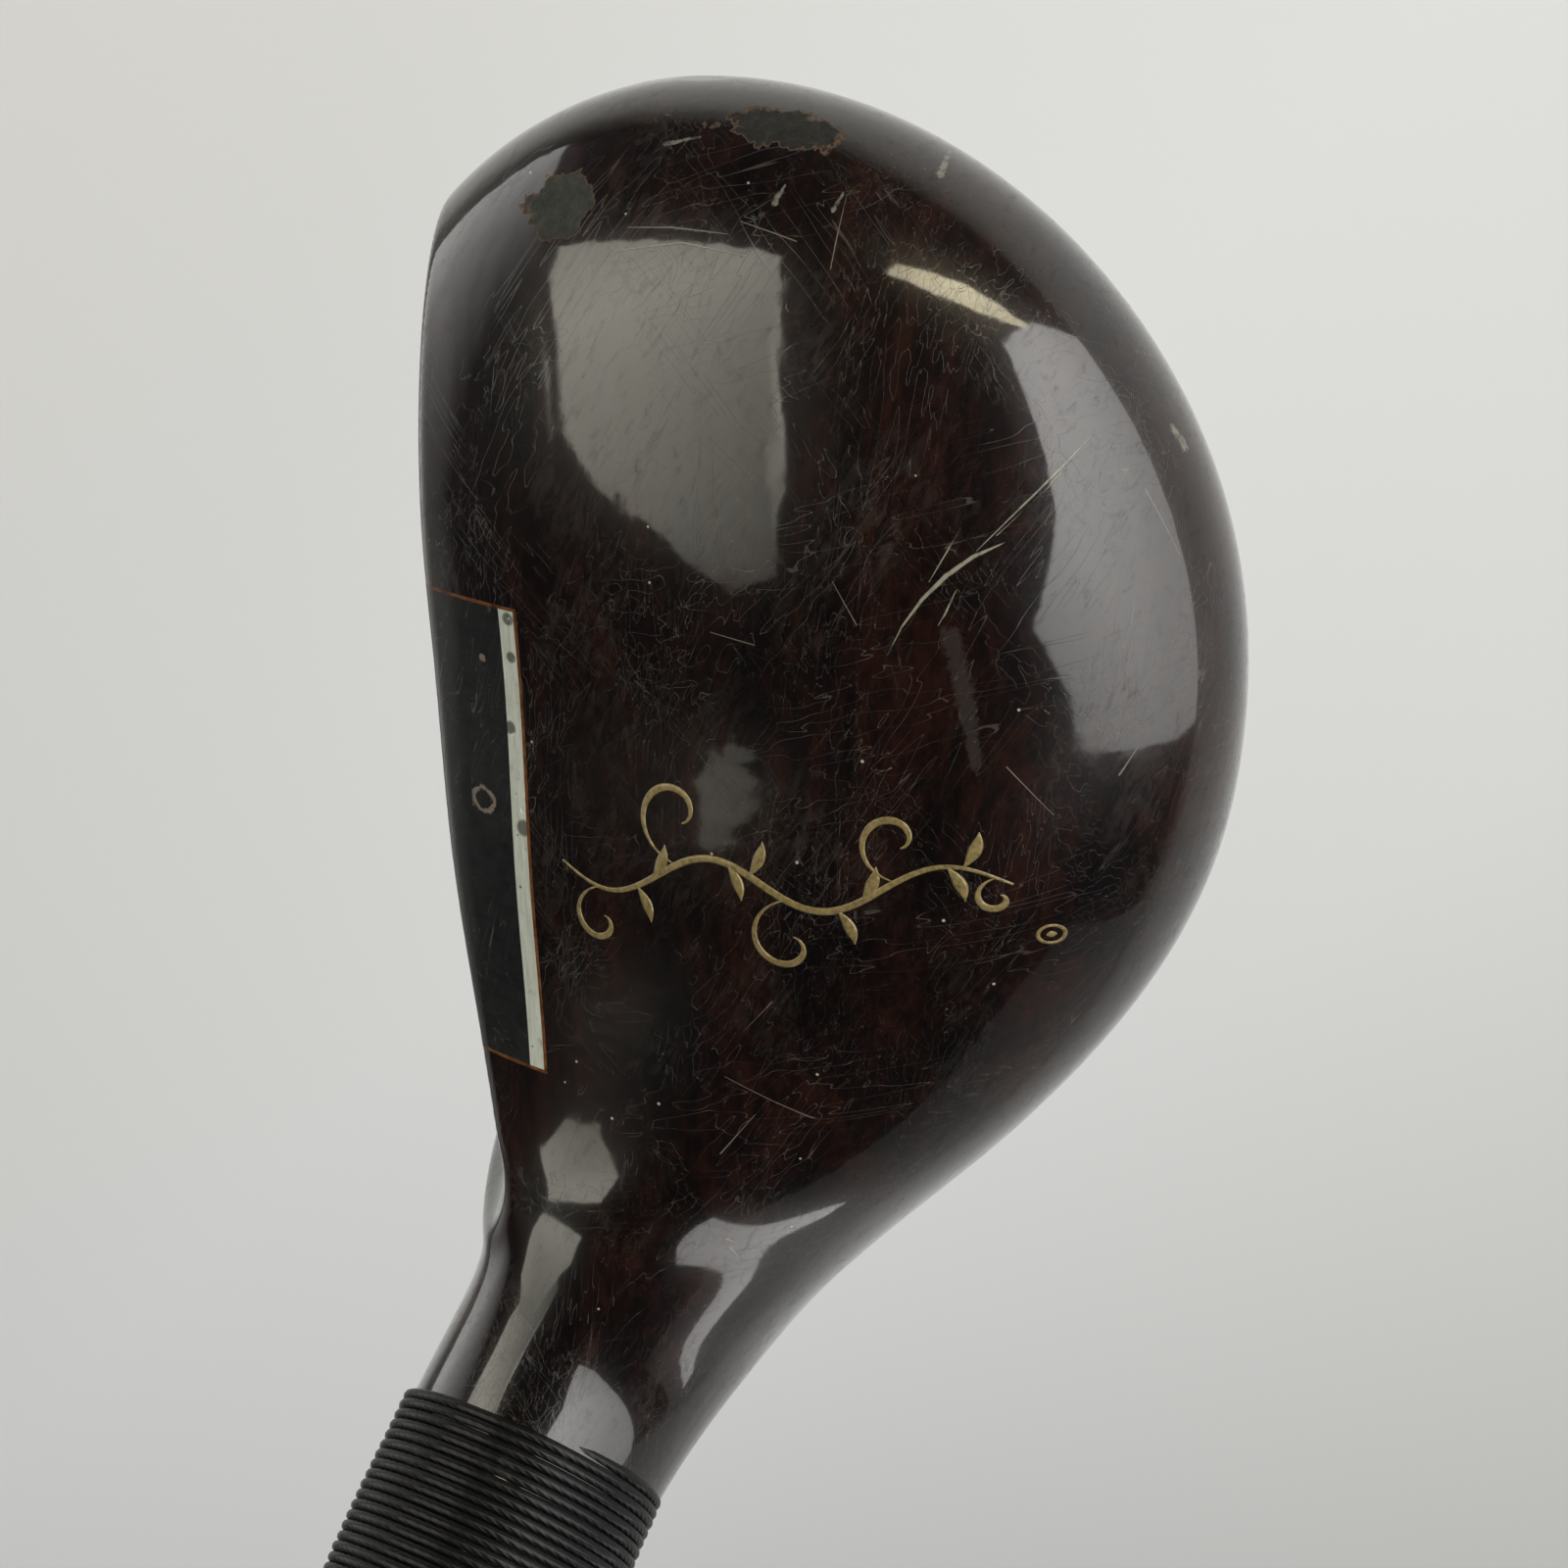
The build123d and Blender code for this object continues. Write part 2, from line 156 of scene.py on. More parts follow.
def make_world():
    """Dark room for the lacquer to mirror; the camera itself sees a pale backdrop."""
    world = bpy.data.worlds.new("room")
    bpy.context.scene.world = world
    world.use_nodes = True
    g = RoomGraph(world.node_tree)
    height = g.axis(g.node("TexCoord").outputs["Generated"], "Z")
    dark = g.tree.nodes["Background"]
    g.plug(g.ramp(height, [(0.0, (0.05, 0.05, 0.052)), (0.42, (0.016, 0.016, 0.017))]), dark.inputs["Color"])
    pale = g.node("Background", (0.56, 0.56, 0.555))
    seen = g.node("LightPath").outputs["Is Camera Ray"]
    chooser = g.node("MixShader", seen, dark.outputs[0], pale.outputs[0])
    g.plug(chooser.outputs[0], g.tree.nodes["World Output"].inputs["Surface"])


def make_floor():
    """Pale floor below the club. Its tone is painted light: a glow, darker towards +X+Y as if the light fell
    off across it, that the lacquer sees fade with distance.
    """
    size, drop, spot_under_camera = 12, 0.25, (-0.044, -0.173, 0.0)
    bpy.ops.mesh.primitive_plane_add(size=size, location=(0.2, 0, -drop))
    floor = bpy.context.object
    floor.name = "floor"
    g = Graph("floor", Base_Color=(0.42, 0.42, 0.415, 1), Roughness=0.9, Emission_Strength=1.0)
    place = g.vector("SUBTRACT", g.coords(1.0), spot_under_camera)
    slant = g.math("ADD", g.axis(place, "X"), g.axis(place, "Y"))
    # Painted light: the glow darkens towards +X+Y, standing in for light falling off across the floor;
    # beyond a metre the camera sees an even glow
    shade = g.ramp(g.math("ADD", slant, 0.48), [
        (0.10, (0.35, 0.352, 0.348)), (0.45, (0.375, 0.383, 0.388)), (0.62, (0.335, 0.342, 0.352)),
        (0.84, (0.190, 0.196, 0.204)), (1.0, (0.13, 0.135, 0.14)),
    ])
    distance = g.vector("LENGTH", place)
    fade = g.step(distance, 1.3, 0.6)
    far = g.step(distance, 0.5, 1.0)
    seen = g.mix(far, shade, (0.30, 0.30, 0.30))
    mirrored = g.mix(fade, (0, 0, 0), shade)
    g.link(g.mix(g.node("LightPath").outputs["Is Camera Ray"], mirrored, seen), "Emission Color")
    floor.data.materials.append(g.material)


# -------------------- material nodes

class Graph:
    """A material and short calls that add nodes to it. Lengths are in millimetres."""

    def __init__(self, name, **sockets):
        self.material = bpy.data.materials.new(name)
        self.material.use_nodes = True
        self.tree = self.material.node_tree
        self.bsdf = self.tree.nodes["Principled BSDF"]
        for socket, value in sockets.items():
            self.bsdf.inputs[socket.replace("_", " ")].default_value = value

    def node(self, kind, *inputs, **settings):
        made = self.tree.nodes.new("ShaderNode" + kind)
        for key, value in settings.items():
            setattr(made, key, value)
        for slot, value in enumerate(inputs):
            self.plug(value, made.inputs[slot])
        return made

    def plug(self, value, socket):
        if value is None:
            return
        if isinstance(value, bpy.types.NodeSocket):
            self.tree.links.new(value, socket)
        elif socket.type == "RGBA" and len(value) == 3:
            socket.default_value = (*value, 1)
        else:
            socket.default_value = value

    def link(self, value, name):
        self.plug(value, self.bsdf.inputs[name])

    def coords(self, per_metre=1000.0, turn=(0, 0, 0), scale=(1, 1, 1)):
        """Place on the object, turned by degrees, then scaled, in millimetres by default."""
        where = self.node("TexCoord").outputs["Object"]
        turned = self.node("Mapping", where, (0, 0, 0), tuple(radians(t) for t in turn))
        size = tuple(per_metre * s for s in scale)
        return self.node("Mapping", turned.outputs[0], (0, 0, 0), (0, 0, 0), size).outputs[0]

    def axis(self, vector, name):
        return self.node("SeparateXYZ", vector).outputs[name]

    def math(self, operation, a, b=None, c=None, clamp=False):
        return self.node("Math", a, b, c, operation=operation, use_clamp=clamp).outputs[0]

    def times(self, a, b):
        return self.math("MULTIPLY", a, b)

    def ragged(self, vector, scale, detail, roughness, size):
        """Noise round 0, to roughen an edge by about half the size."""
        centred = self.math("SUBTRACT", self.noise(vector, scale, detail, roughness), 0.5)
        return self.times(centred, size)

    def vector(self, operation, a, b=None, scale=None):
        made = self.node("VectorMath", a, b, operation=operation)
        if scale is not None:
            self.plug(scale, made.inputs["Scale"])
        return made.outputs["Value" if operation in ("LENGTH", "DISTANCE", "DOT_PRODUCT") else "Vector"]

    def noise(self, vector, scale, detail=3.0, roughness=0.5, distortion=0.0):
        made = self.node("TexNoise", vector, None, scale, detail, roughness)
        made.inputs["Distortion"].default_value = distortion
        return made.outputs["Fac"]

    def streaks(self, scale, detail, roughness=0.5, distortion=0.0, turn=(0, 0, 0)):
        """Noise drawn out along the directions whose scale is small."""
        return self.noise(self.coords(turn=turn, scale=scale), 1.0, detail, roughness, distortion)

    def cells(self, vector, scale):
        made = self.node("TexVoronoi", vector)
        made.inputs["Scale"].default_value = scale
        return made

    def step(self, value, low, high):
        """0 below low, 1 above high, smooth between (or the reverse if low > high)."""
        first, last = (1.0, 0.0) if low > high else (0.0, 1.0)
        span = (min(low, high), max(low, high), first, last)
        return self.node("MapRange", value, *span, interpolation_type="SMOOTHSTEP").outputs[0]

    def ramp(self, value, stops):
        made = self.node("ValToRGB", value)
        elements = made.color_ramp.elements
        while len(elements) < len(stops):
            elements.new(0.5)
        for element, (place, colour) in zip(elements, stops):
            element.position = place
            element.color = (*colour, 1)
        return made.outputs[0]

    def mix(self, factor, a, b):
        """Mix of two colours."""
        made = self.node("Mix", data_type="RGBA")
        self.plug(factor, made.inputs[0])
        self.plug(a, made.inputs[6])
        self.plug(b, made.inputs[7])
        return made.outputs[2]

    def blend(self, factor, a, b):
        """Mix of two numbers."""
        made = self.node("Mix", data_type="FLOAT")
        self.plug(factor, made.inputs[0])
        self.plug(a, made.inputs[2])
        self.plug(b, made.inputs[3])
        return made.outputs[0]

    def bump(self, height, distance, normal=None):
        """Bump from a height between 0 and 1; the distance is in metres."""
        made = self.node("Bump")
        made.inputs["Strength"].default_value = 1.0
        made.inputs["Distance"].default_value = distance
        self.plug(height, made.inputs["Height"])
        self.plug(normal, made.inputs["Normal"])
        return made.outputs[0]

    def any(self, masks):
        """Largest of several masks."""
        total = masks[0]
        for mask in masks[1:]:
            total = self.math("MAXIMUM", total, mask)
        return total

    def stroke(self, place, points, wobble=None):
        """1 on a stroke through points with x, y, z and half width in mm, fading at its edge."""
        nearest = None
        normal = self.node("NewGeometry").outputs["Normal"]
        for (*start, thick), (*end, thin) in zip(points, points[1:]):
            along = Vector(end) - Vector(start)
            offset = self.vector("SUBTRACT", place, start)
            share = self.vector("DOT_PRODUCT", offset, tuple(along / along.length_squared))
            share = self.math("MINIMUM", self.math("MAXIMUM", share, 0.0), 1.0)
            away = self.vector("SUBTRACT", offset, self.vector("SCALE", tuple(along), None, share))
            depth = self.vector("DOT_PRODUCT", away, normal)
            away = self.vector("SUBTRACT", away, self.vector("SCALE", normal, None, depth))
            width = self.math("MULTIPLY_ADD", share, thin - thick, thick)
            away = self.math("DIVIDE", self.vector("LENGTH", away), width)
            away = self.math("MAXIMUM", away, self.times(self.math("ABSOLUTE", depth), 0.6))
            nearest = away if nearest is None else self.math("MINIMUM", nearest, away)
        if wobble is not None:
            nearest = self.math("ADD", nearest, wobble)
        return self.step(nearest, 1.1, 0.5)

    def patch(self, place, centre, reach, edge):
        """Distance from a centre in units of its reach along x, y and z, roughened by the edge."""
        offset = self.vector("SUBTRACT", place, centre)
        away = self.vector("LENGTH", self.vector("DIVIDE", offset, reach))
        return self.math("ADD", away, edge)


class RoomGraph(Graph):
    """The same calls for the node tree of the world."""

    def __init__(self, tree):
        self.tree = tree


def dress(piece, graph, smooth=None):
    """Give a piece or a CAD node its material."""
    mesh = piece.data
    mesh.materials.clear()
    mesh.materials.append(graph.material)
    if smooth is not None:
        mesh.shade_smooth()
        mesh.set_sharp_from_angle(angle=radians(smooth))


def add_piece(name, mesh, replaced=None):
    """Link a new piece to the club and let it stand for a CAD node."""
    piece = new_object(name, mesh)
    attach(piece, "root")
    if replaced:
        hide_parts(replaced)
    return piece


def read(collection, field, kind=float):
    """A field of three numbers of all items in a mesh collection, a row for each."""
    values = np.empty(len(collection) * 3, kind)
    collection.foreach_get(field, values)
    return values.reshape(-1, 3)


def to_mesh(bm, name):
    mesh = bpy.data.meshes.new(name)
    bm.to_mesh(mesh)
    bm.free()
    return mesh


def face_outwards(mesh):
    bm = bmesh.new()
    bm.from_mesh(mesh)
    bmesh.ops.recalc_face_normals(bm, faces=bm.faces)
    bm.to_mesh(mesh)
    bm.free()
    return mesh


def tube_faces(rings, sides):
    """Faces between rings of points that follow one another, without the two ends."""
    faces = []
    for i in range(rings - 1):
        for j in range(sides):
            k = (j + 1) % sides
            faces.append((i * sides + j, i * sides + k, (i + 1) * sides + k, (i + 1) * sides + j))
    return faces


# -------------------- the skin of the head

ring_points = 400
toe_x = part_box("head")[0][0] / MM
bend = np.array((27.6, 0.0, 77.1))
body_x = -14.0
body_middle = (-3.5, 15.5)
neck_top = 114.8
cap_size = 0.42
toe_rings, body_rings, turn_rings, neck_rings = 72, 72, 92, 28
skin_nodes = (
    "head", "face_insert", "insert_spacer", "insert_bedding", "face_insert_screws",
    "sole_plate", "sole_plate_screws", "shaft", "shaft_plug",
)


def outer_triangles():
    """Triangles of the pieces that make up the outside of the head, with the CAD's smooth normals."""
    points, faces, normals = [], [], []
    count = 0
    for name in skin_nodes:
        mesh = nodes[name].data
        mesh.calc_loop_triangles()
        points.append(read(mesh.vertices, "co"))
        faces.append(read(mesh.loop_triangles, "vertices", int) + count)
        loops = read(mesh.loop_triangles, "loops", int)
        normals.append(read(mesh.corner_normals, "vector")[loops])
        count += len(mesh.vertices)
    return np.concatenate(points), np.concatenate(faces), np.concatenate(normals)


class Skin:
    """Smooth outside of the head, found by casting rays at it from outside."""

    def __init__(self):
        self.points, self.faces, self.normals = outer_triangles()
        self.tree = BVHTree.FromPolygons(self.points.tolist(), self.faces.tolist(), all_triangles=True)

    def cast(self, starts, ends):
        """Where rays from starts towards ends first meet the skin, curved between its vertices."""
        spots, indices = [], []
        for start, end in zip(starts, ends):
            start = Vector(start)
            spot, _, index, _ = self.tree.ray_cast(start, (Vector(end) - start).normalized())
            spots.append(spot if spot else end)
            indices.append(index if spot else -1)
        spots = np.array([tuple(spot) for spot in spots])
        indices = np.array(indices)
        found = indices >= 0
        curved = spots.copy()
        curved[found] = self.curve(spots[found], indices[found])
        return curved

    def curve(self, spots, indices):
        """Phong tessellation: pull the points of flat triangles onto the surface they stand for."""
        a, b, c = (self.points[self.faces[indices, k]] for k in range(3))
        ab, ac, ap = b - a, c - a, spots - a
        d00, d01, d11 = (ab * ab).sum(1), (ab * ac).sum(1), (ac * ac).sum(1)
        d20, d21 = (ap * ab).sum(1), (ap * ac).sum(1)
        area = np.maximum(d00 * d11 - d01 * d01, 1e-30)
        v = (d11 * d20 - d01 * d21) / area
        w = (d00 * d21 - d01 * d20) / area
        weights = np.stack((1 - v - w, v, w), 1)
        pulled = np.zeros_like(spots)
        for k, corner in enumerate((a, b, c)):
            normal = self.normals[indices, k]
            drop = ((spots - corner) * normal).sum(1)[:, None] * normal
            pulled += weights[:, k, None] * (spots - drop)
        return spots + 0.75 * (pulled - spots)


def ring_planes():
    """Centre, upward direction and clear height of each ring plane, from toe to neck, in mm."""
    turn_along = float((bend - heel) @ shaft)
    neck_point = heel + shaft * turn_along
    neck_reach = np.linalg.norm((neck_point - bend)[[0, 2]])
    planes = []
    for swing in np.linspace(asin(cap_size), pi / 2, toe_rings):
        x = body_x + (toe_x - body_x) * cos(swing)
        planes.append((np.array((x, *body_middle)), upright, 80.0))
    for x in np.linspace(body_x, bend[0], body_rings)[1:]:
        planes.append((np.array((x, *body_middle)), upright, 80.0))
    for tilt in np.linspace(0, lie, turn_rings)[1:]:
        up = np.array((-sin(tilt), 0, cos(tilt)))
        turn = tilt / lie
        depth = (1 - turn) * (bend[2] - body_middle[1]) + turn * neck_reach
        centre = bend - up * depth
        centre[1] = (1 - turn) * body_middle[0] + turn * heel[1]
        planes.append((centre, up, depth - 2))
    for along in np.linspace(turn_along, neck_top, neck_rings)[1:]:
        planes.append((heel + shaft * along, up, 40.0))
    return planes


def head_rings(skin):
    """Rings of points round the head from the toe to the top of the neck, in metres."""
    angles = np.linspace(0, 2 * pi, ring_points, endpoint=False)
    rings = []
    for centre, up, roof in ring_planes():
        spokes = np.cos(angles)[:, None] * across + np.sin(angles)[:, None] * up
        rising = np.sin(angles) > 0
        far = np.where(rising, np.minimum(80.0, roof / np.maximum(np.sin(angles), 1e-3)), 80.0)
        starts = (centre + spokes * far[:, None]) * MM
        ends = np.repeat(centre[None] * MM, ring_points, 0)
        rings.append(skin.cast(starts, ends))
    return np.array(rings)


def soften(rings, first, last, rounds):
    """Smooth the rings between two places, without shrinking them, fading out at both ends."""
    index, fade = np.arange(len(rings)), 14
    weight = np.clip((index - first) / fade, 0, 1) * np.clip((last - index) / fade, 0, 1)
    weight = (weight * weight * (3 - 2 * weight))[:, None, None]
    for _ in range(rounds):
        for push in (0.5, -0.512):
            near = (np.roll(rings, 1, 1) + np.roll(rings, -1, 1)) / 2
            middle = rings.copy()
            middle[1:-1] = (rings[2:] + rings[:-2]) / 2
            rings = rings + weight * push * ((near + middle) / 2 - rings)
    return rings


def toe_cap(skin, ring):
    """Square grid that fills the first ring, cast onto the toe along the club's length."""
    n = ring_points // 4
    order = (np.arange(ring_points) + n * 5 // 2) % ring_points
    loop = ring[order]
    bottom, right, top, left = loop[: n + 1], loop[n : 2 * n + 1], loop[2 * n : 3 * n + 1], loop[3 * n :]
    top = top[::-1]
    left = np.concatenate((left, loop[:1]))[::-1]
    u = np.linspace(0, 1, n + 1)[:, None, None]
    v = np.linspace(0, 1, n + 1)[None, :, None]
    grid = (
        (1 - v) * bottom[:, None] + v * top[:, None] + (1 - u) * left[None] + u * right[None]
        - (1 - u) * (1 - v) * bottom[0] - u * (1 - v) * bottom[-1]
        - (1 - u) * v * top[0] - u * v * top[-1]
    )
    inner = grid[1:-1, 1:-1].reshape(-1, 3)
    starts, ends = inner.copy(), inner.copy()
    starts[:, 0] = (toe_x - 20) * MM
    ends[:, 0] = body_x * MM
    grid[1:-1, 1:-1] = skin.cast(starts, ends).reshape(n - 1, n - 1, 3)
    return grid, order


def head_mesh(skin, rings):
    grid, order = toe_cap(skin, rings[0])
    count, n = rings.shape[0] * ring_points, ring_points // 4
    points = np.concatenate((rings.reshape(-1, 3), grid[1:-1, 1:-1].reshape(-1, 3)))
    faces = []
    for i in range(len(rings) - 1):
        for j in range(ring_points):
            k = (j + 1) % ring_points
            a, b = i * ring_points, (i + 1) * ring_points
            faces.append((a + j, b + j, b + k, a + k))
    faces.append(tuple((len(rings) - 1) * ring_points + j for j in range(ring_points)))
    number = np.empty((n + 1, n + 1), int)
    number[1:-1, 1:-1] = count + np.arange((n - 1) ** 2).reshape(n - 1, n - 1)
    for k in range(n + 1):
        number[k, 0] = order[k]
        number[n, k] = order[n + k]
        number[n - k, n] = order[2 * n + k]
        number[0, n - k] = order[(3 * n + k) % ring_points]
    for i in range(n):
        for j in range(n):
            faces.append((number[i, j], number[i, j + 1], number[i + 1, j + 1], number[i + 1, j]))
    mesh = bpy.data.meshes.new("skin")
    mesh.from_pydata(points.tolist(), [], [tuple(int(v) for v in face) for face in faces])
    return face_outwards(mesh)


# -------------------- cutting the head into its pieces

def hull(name, points):
    """Convex closed mesh round some points, given in millimetres."""
    bm = bmesh.new()
    for point in points:
        bm.verts.new(Vector(point) * MM)
    done = bmesh.ops.convex_hull(bm, input=bm.verts)
    spare = {v for v in done["geom_interior"] + done["geom_unused"] if isinstance(v, bmesh.types.BMVert)}
    bmesh.ops.delete(bm, geom=list(spare), context="VERTS")
    bmesh.ops.recalc_face_normals(bm, faces=bm.faces)
    return to_mesh(bm, name)


def rod(start, end, radius, sides=48):
    """Points of a round rod between two places in mm."""
    start, end = Vector(start), Vector(end)
    along = (end - start).normalized()
    side = along.orthogonal().normalized()
    over = along.cross(side)
    ring = [side * cos(2 * pi * k / sides) + over * sin(2 * pi * k / sides) for k in range(sides)]
    return [place + spoke * radius for place in (start, end) for spoke in ring]


def cut(mesh, tools, operation):
    """The mesh after cutting it with the tools one after another, or keeping what lies in one."""
    piece = new_object("cut", mesh)
    helpers = []
    for tool in tools:
        helper = new_object("tool", tool)
        modifier = piece.modifiers.new("cut", "BOOLEAN")
        modifier.operation = operation
        modifier.solver = "MANIFOLD"
        modifier.object = helper
        helpers.append(helper)
    bpy.context.view_layer.update()
    done = bpy.data.meshes.new_from_object(piece.evaluated_get(bpy.context.evaluated_depsgraph_get()))
    for spare in (piece, *helpers):
        bpy.data.objects.remove(spare)
    return done


def vertex_places(name):
    """Vertices of a CAD node in mm."""
    return read(nodes[name].data.vertices, "co") / MM


class Seat:
    """Frame of the insert's seat: x towards the heel, z out of the face, from the white spacer."""

    def __init__(self):
        mesh = nodes["insert_spacer"].data
        total = Vector()
        for face in mesh.polygons:
            if face.normal.y < -0.8:
                total += face.normal * face.area
        self.z = np.array(total.normalized())
        self.x = np.cross(upright, self.z)
        self.x /= np.linalg.norm(self.x)
        self.y = np.cross(self.z, self.x)
        places = vertex_places("insert_spacer")
        self.ends = (places @ self.x).min(), (places @ self.x).max()
        self.floor, self.roof = (places @ self.z).min(), (places @ self.z).max()

    def box(self, spare, low, high):
        """Block over the seat's width and far past the crown and the sole."""
        left, right = self.ends[0] - spare, self.ends[1] + spare
        past_sole, past_crown = -60, 90
        corners = [(x, y, z) for x in (left, right) for y in (past_sole, past_crown) for z in (low, high)]
        return hull("seat_box", [x * self.x + y * self.y + z * self.z for x, y, z in corners])


def screw_holes(seat):
    """Rods for the four screw heads in the insert, where the CAD screws point."""
    places = vertex_places("face_insert_screws")
    deep = places[(places @ seat.z) < (places @ seat.z).min() + 2.5]
    under_head, past_face, head_radius = 14.2, 40, 2.8
    rods = []
    for side in (-1, 1):
        for level in (-1, 1):
            along = deep @ seat.x
            height = deep @ seat.y
            near = (np.sign(along - along.mean()) == side) & (np.sign(height - height.mean()) == level)
            middle = deep[near].mean(0)
            tool = rod(middle + seat.z * under_head, middle + seat.z * past_face, head_radius)
            rods.append(hull("screw_hole", tool))
    return rods


def chips(lumps_wanted, seed):
    """Small ragged lumps, given by place and size, that bite chips out of an edge."""
    lumps = []
    for number, (place, size) in enumerate(lumps_wanted):
        bm = bmesh.new()
        bmesh.ops.create_icosphere(bm, subdivisions=3, radius=1.0)
        for v in bm.verts:
            ragged = 1 + 0.45 * noise.noise(v.co * 2.1 + Vector((seed + 7.3 * number, 0, 0)))
            v.co = Vector(place) * MM + Vector(size) * MM * 0.5 * ragged * v.co
        lumps.append(to_mesh(bm, "chip"))
    return lumps


def make_head():
    """Wood, black insert, white strip and glue, all cut from one smooth skin."""
    skin = Skin()
    body_end, neck_start, rounds = 140, 235, 400
    rings = soften(head_rings(skin), body_end, neck_start, rounds)
    whole = head_mesh(skin, rings)
    plate = vertex_places("sole_plate")
    spread = np.concatenate((plate, plate - 10 * across))
    plate_top = plate[:, 2].max()
    plate_tool = hull("plate_tool", [(x, y, z) for x, y, _ in spread for z in (-5, plate_top)])
    bore_radius, bedding, outside = 4.26, 0.3, 90
    bore_tool = hull("bore_tool", rod(heel - shaft * 12, heel + shaft * 140, bore_radius))
    whole = cut(whole, [plate_tool, bore_tool], "DIFFERENCE")
    seat = Seat()
    bed = seat.box(bedding, seat.floor - bedding, seat.floor + outside)
    core = seat.box(0.0, seat.floor, seat.floor + outside)
    strip_box = seat.box(0.0, seat.floor, seat.roof)
    block_box = seat.box(0.0, seat.roof, seat.floor + outside)
    wood = cut(whole, [bed], "DIFFERENCE")
    glue = cut(cut(whole, [bed], "INTERSECT"), [core], "DIFFERENCE")
    strip = cut(whole, [strip_box], "INTERSECT")
    block = cut(cut(whole, [block_box], "INTERSECT"), screw_holes(seat), "DIFFERENCE")
    strip_chips = [
        ((-19.0, -13.1, 35.3), (1.3, 0.8, 0.7)), ((-15.7, -13.1, 35.5), (1.2, 0.7, 0.6)),
        ((-9.6, -13.6, 36.2), (1.6, 0.9, 0.7)), ((-2.9, -12.8, 37.4), (1.1, 0.7, 0.6)),
        ((-1.3, -12.4, 37.8), (1.3, 0.8, 0.6)), ((0.6, -12.7, 38.0), (0.9, 0.7, 0.5)),
    ]
    strip = cut(strip, chips(strip_chips, 3.0), "DIFFERENCE")
    return wood, block, strip, glue


# -------------------- looks of the head

def scratches(g, direction_turn, length, pitch, fine, gate_low, gate_high):
    """Hairlines in one direction, broken up by a slow noise: 1 on a line, 0 off it."""
    where = g.coords(turn=direction_turn, scale=(1 / length, 1 / pitch, 1 / pitch))
    wave = g.noise(where, 1.0, 1.0, 0.5, 0.2)
    line = g.step(g.math("ABSOLUTE", g.math("SUBTRACT", wave, 0.5)), fine, fine * 0.3)
    slow = g.noise(g.coords(turn=direction_turn, scale=(0.05, 0.12, 0.12)), 1.0, 2.0)
    gate = g.step(slow, gate_low, gate_high)
    return g.times(line, gate)


# Strokes on the lacquer: x, y and z of each point on the head and the half width there, in mm
gouges = [
    [(-19.6, 20.3, 32.3, 0.03), (-21.9, 21.4, 31.6, 0.08), (-24.0, 22.9, 31.0, 0.15),
     (-25.7, 24.5, 30.1, 0.2), (-27.0, 26.2, 29.0, 0.17), (-27.9, 28.2, 27.9, 0.05)],
    [(-25.3, 23.4, 30.8, 0.04), (-27.8, 24.7, 29.7, 0.07), (-30.1, 25.8, 28.4, 0.03)],
    [(-27.4, 26.4, 28.8, 0.03), (-30.2, 29.0, 26.9, 0.08), (-32.4, 31.1, 25.2, 0.1),
     (-34.9, 33.0, 22.2, 0.02)],
    [(-28.4, 27.6, 27.9, 0.04), (-31.6, 30.8, 25.6, 0.07), (-32.6, 31.6, 24.9, 0.04)],
    [(-22.0, 24.0, 30.9, 0.03), (-22.9, 24.5, 30.6, 0.09), (-24.6, 25.2, 30.1, 0.03)],
]
hair_marks = [
    [(-46.7, 14.3, 26.2, 0.05), (-51.2, 14.0, 22.6, 0.03)],
    [(-49.8, 6.8, 26.0, 0.03), (-48.6, 11.4, 26.0, 0.05)],
    [(-47.6, -3.6, 28.1, 0.03), (-48.4, 2.4, 27.5, 0.07), (-47.6, 8.0, 27.3, 0.03)],
    [(-49.2, -2.6, 27.1, 0.03), (-49.3, 1.4, 26.9, 0.08), (-49.0, 6.0, 26.7, 0.03)],
    [(-9.3, 35.7, 25.5, 0.1), (-11.4, 36.9, 24.5, 0.03)],
    [(-30.4, 36.3, 21.0, 0.05), (-25.3, 38.6, 20.2, 0.03)],
    [(-9.0, 17.5, 33.2, 0.03), (-10.6, 20.4, 33.1, 0.06)],
    [(-10.7, 28.5, 29.8, 0.05), (-6.6, 31.6, 28.6, 0.03)],
    [(25.6, 4.5, 38.8, 0.07), (21.5, 7.7, 37.8, 0.02)],
    [(18.1, 5.4, 38.2, 0.03), (21.6, 12.3, 36.1, 0.06)],
    [(35.5, 3.3, 37.6, 0.2), (36.5, 4.2, 36.8, 0.05)],
    [(36.7, 3.3, 37.3, 0.16), (38.6, 3.6, 36.2, 0.04)],
    [(-20.5, 6.3, 34.8, 0.03), (-19.8, 10.0, 34.5, 0.05)],
    [(-9.5, -2.7, 35.1, 0.03), (-9.2, 1.7, 34.7, 0.05)],
    [(13.5, 7.3, 37.3, 0.02), (10.3, 10.0, 36.6, 0.06)],
    [(-25.2, 16.4, 32.9, 0.03), (-21.9, 18.1, 32.6, 0.05)],
]
scuffs = [
    [(-50.9, 9.0, 24.6, 0.3), (-52.0, 9.4, 23.6, 0.1)],
    [(-50.3, 13.4, 23.7, 0.2), (-51.3, 13.7, 22.6, 0.1)],
    [(-54.5, -1.4, 22.7, 0.25), (-54.9, 1.3, 22.0, 0.12)],
    [(-51.6, 19.0, 17.6, 0.35), (-52.6, 18.0, 14.0, 0.15)],
    [(-32.1, 37.4, 15.9, 0.5), (-33.6, 36.6, 16.3, 0.4)],
]


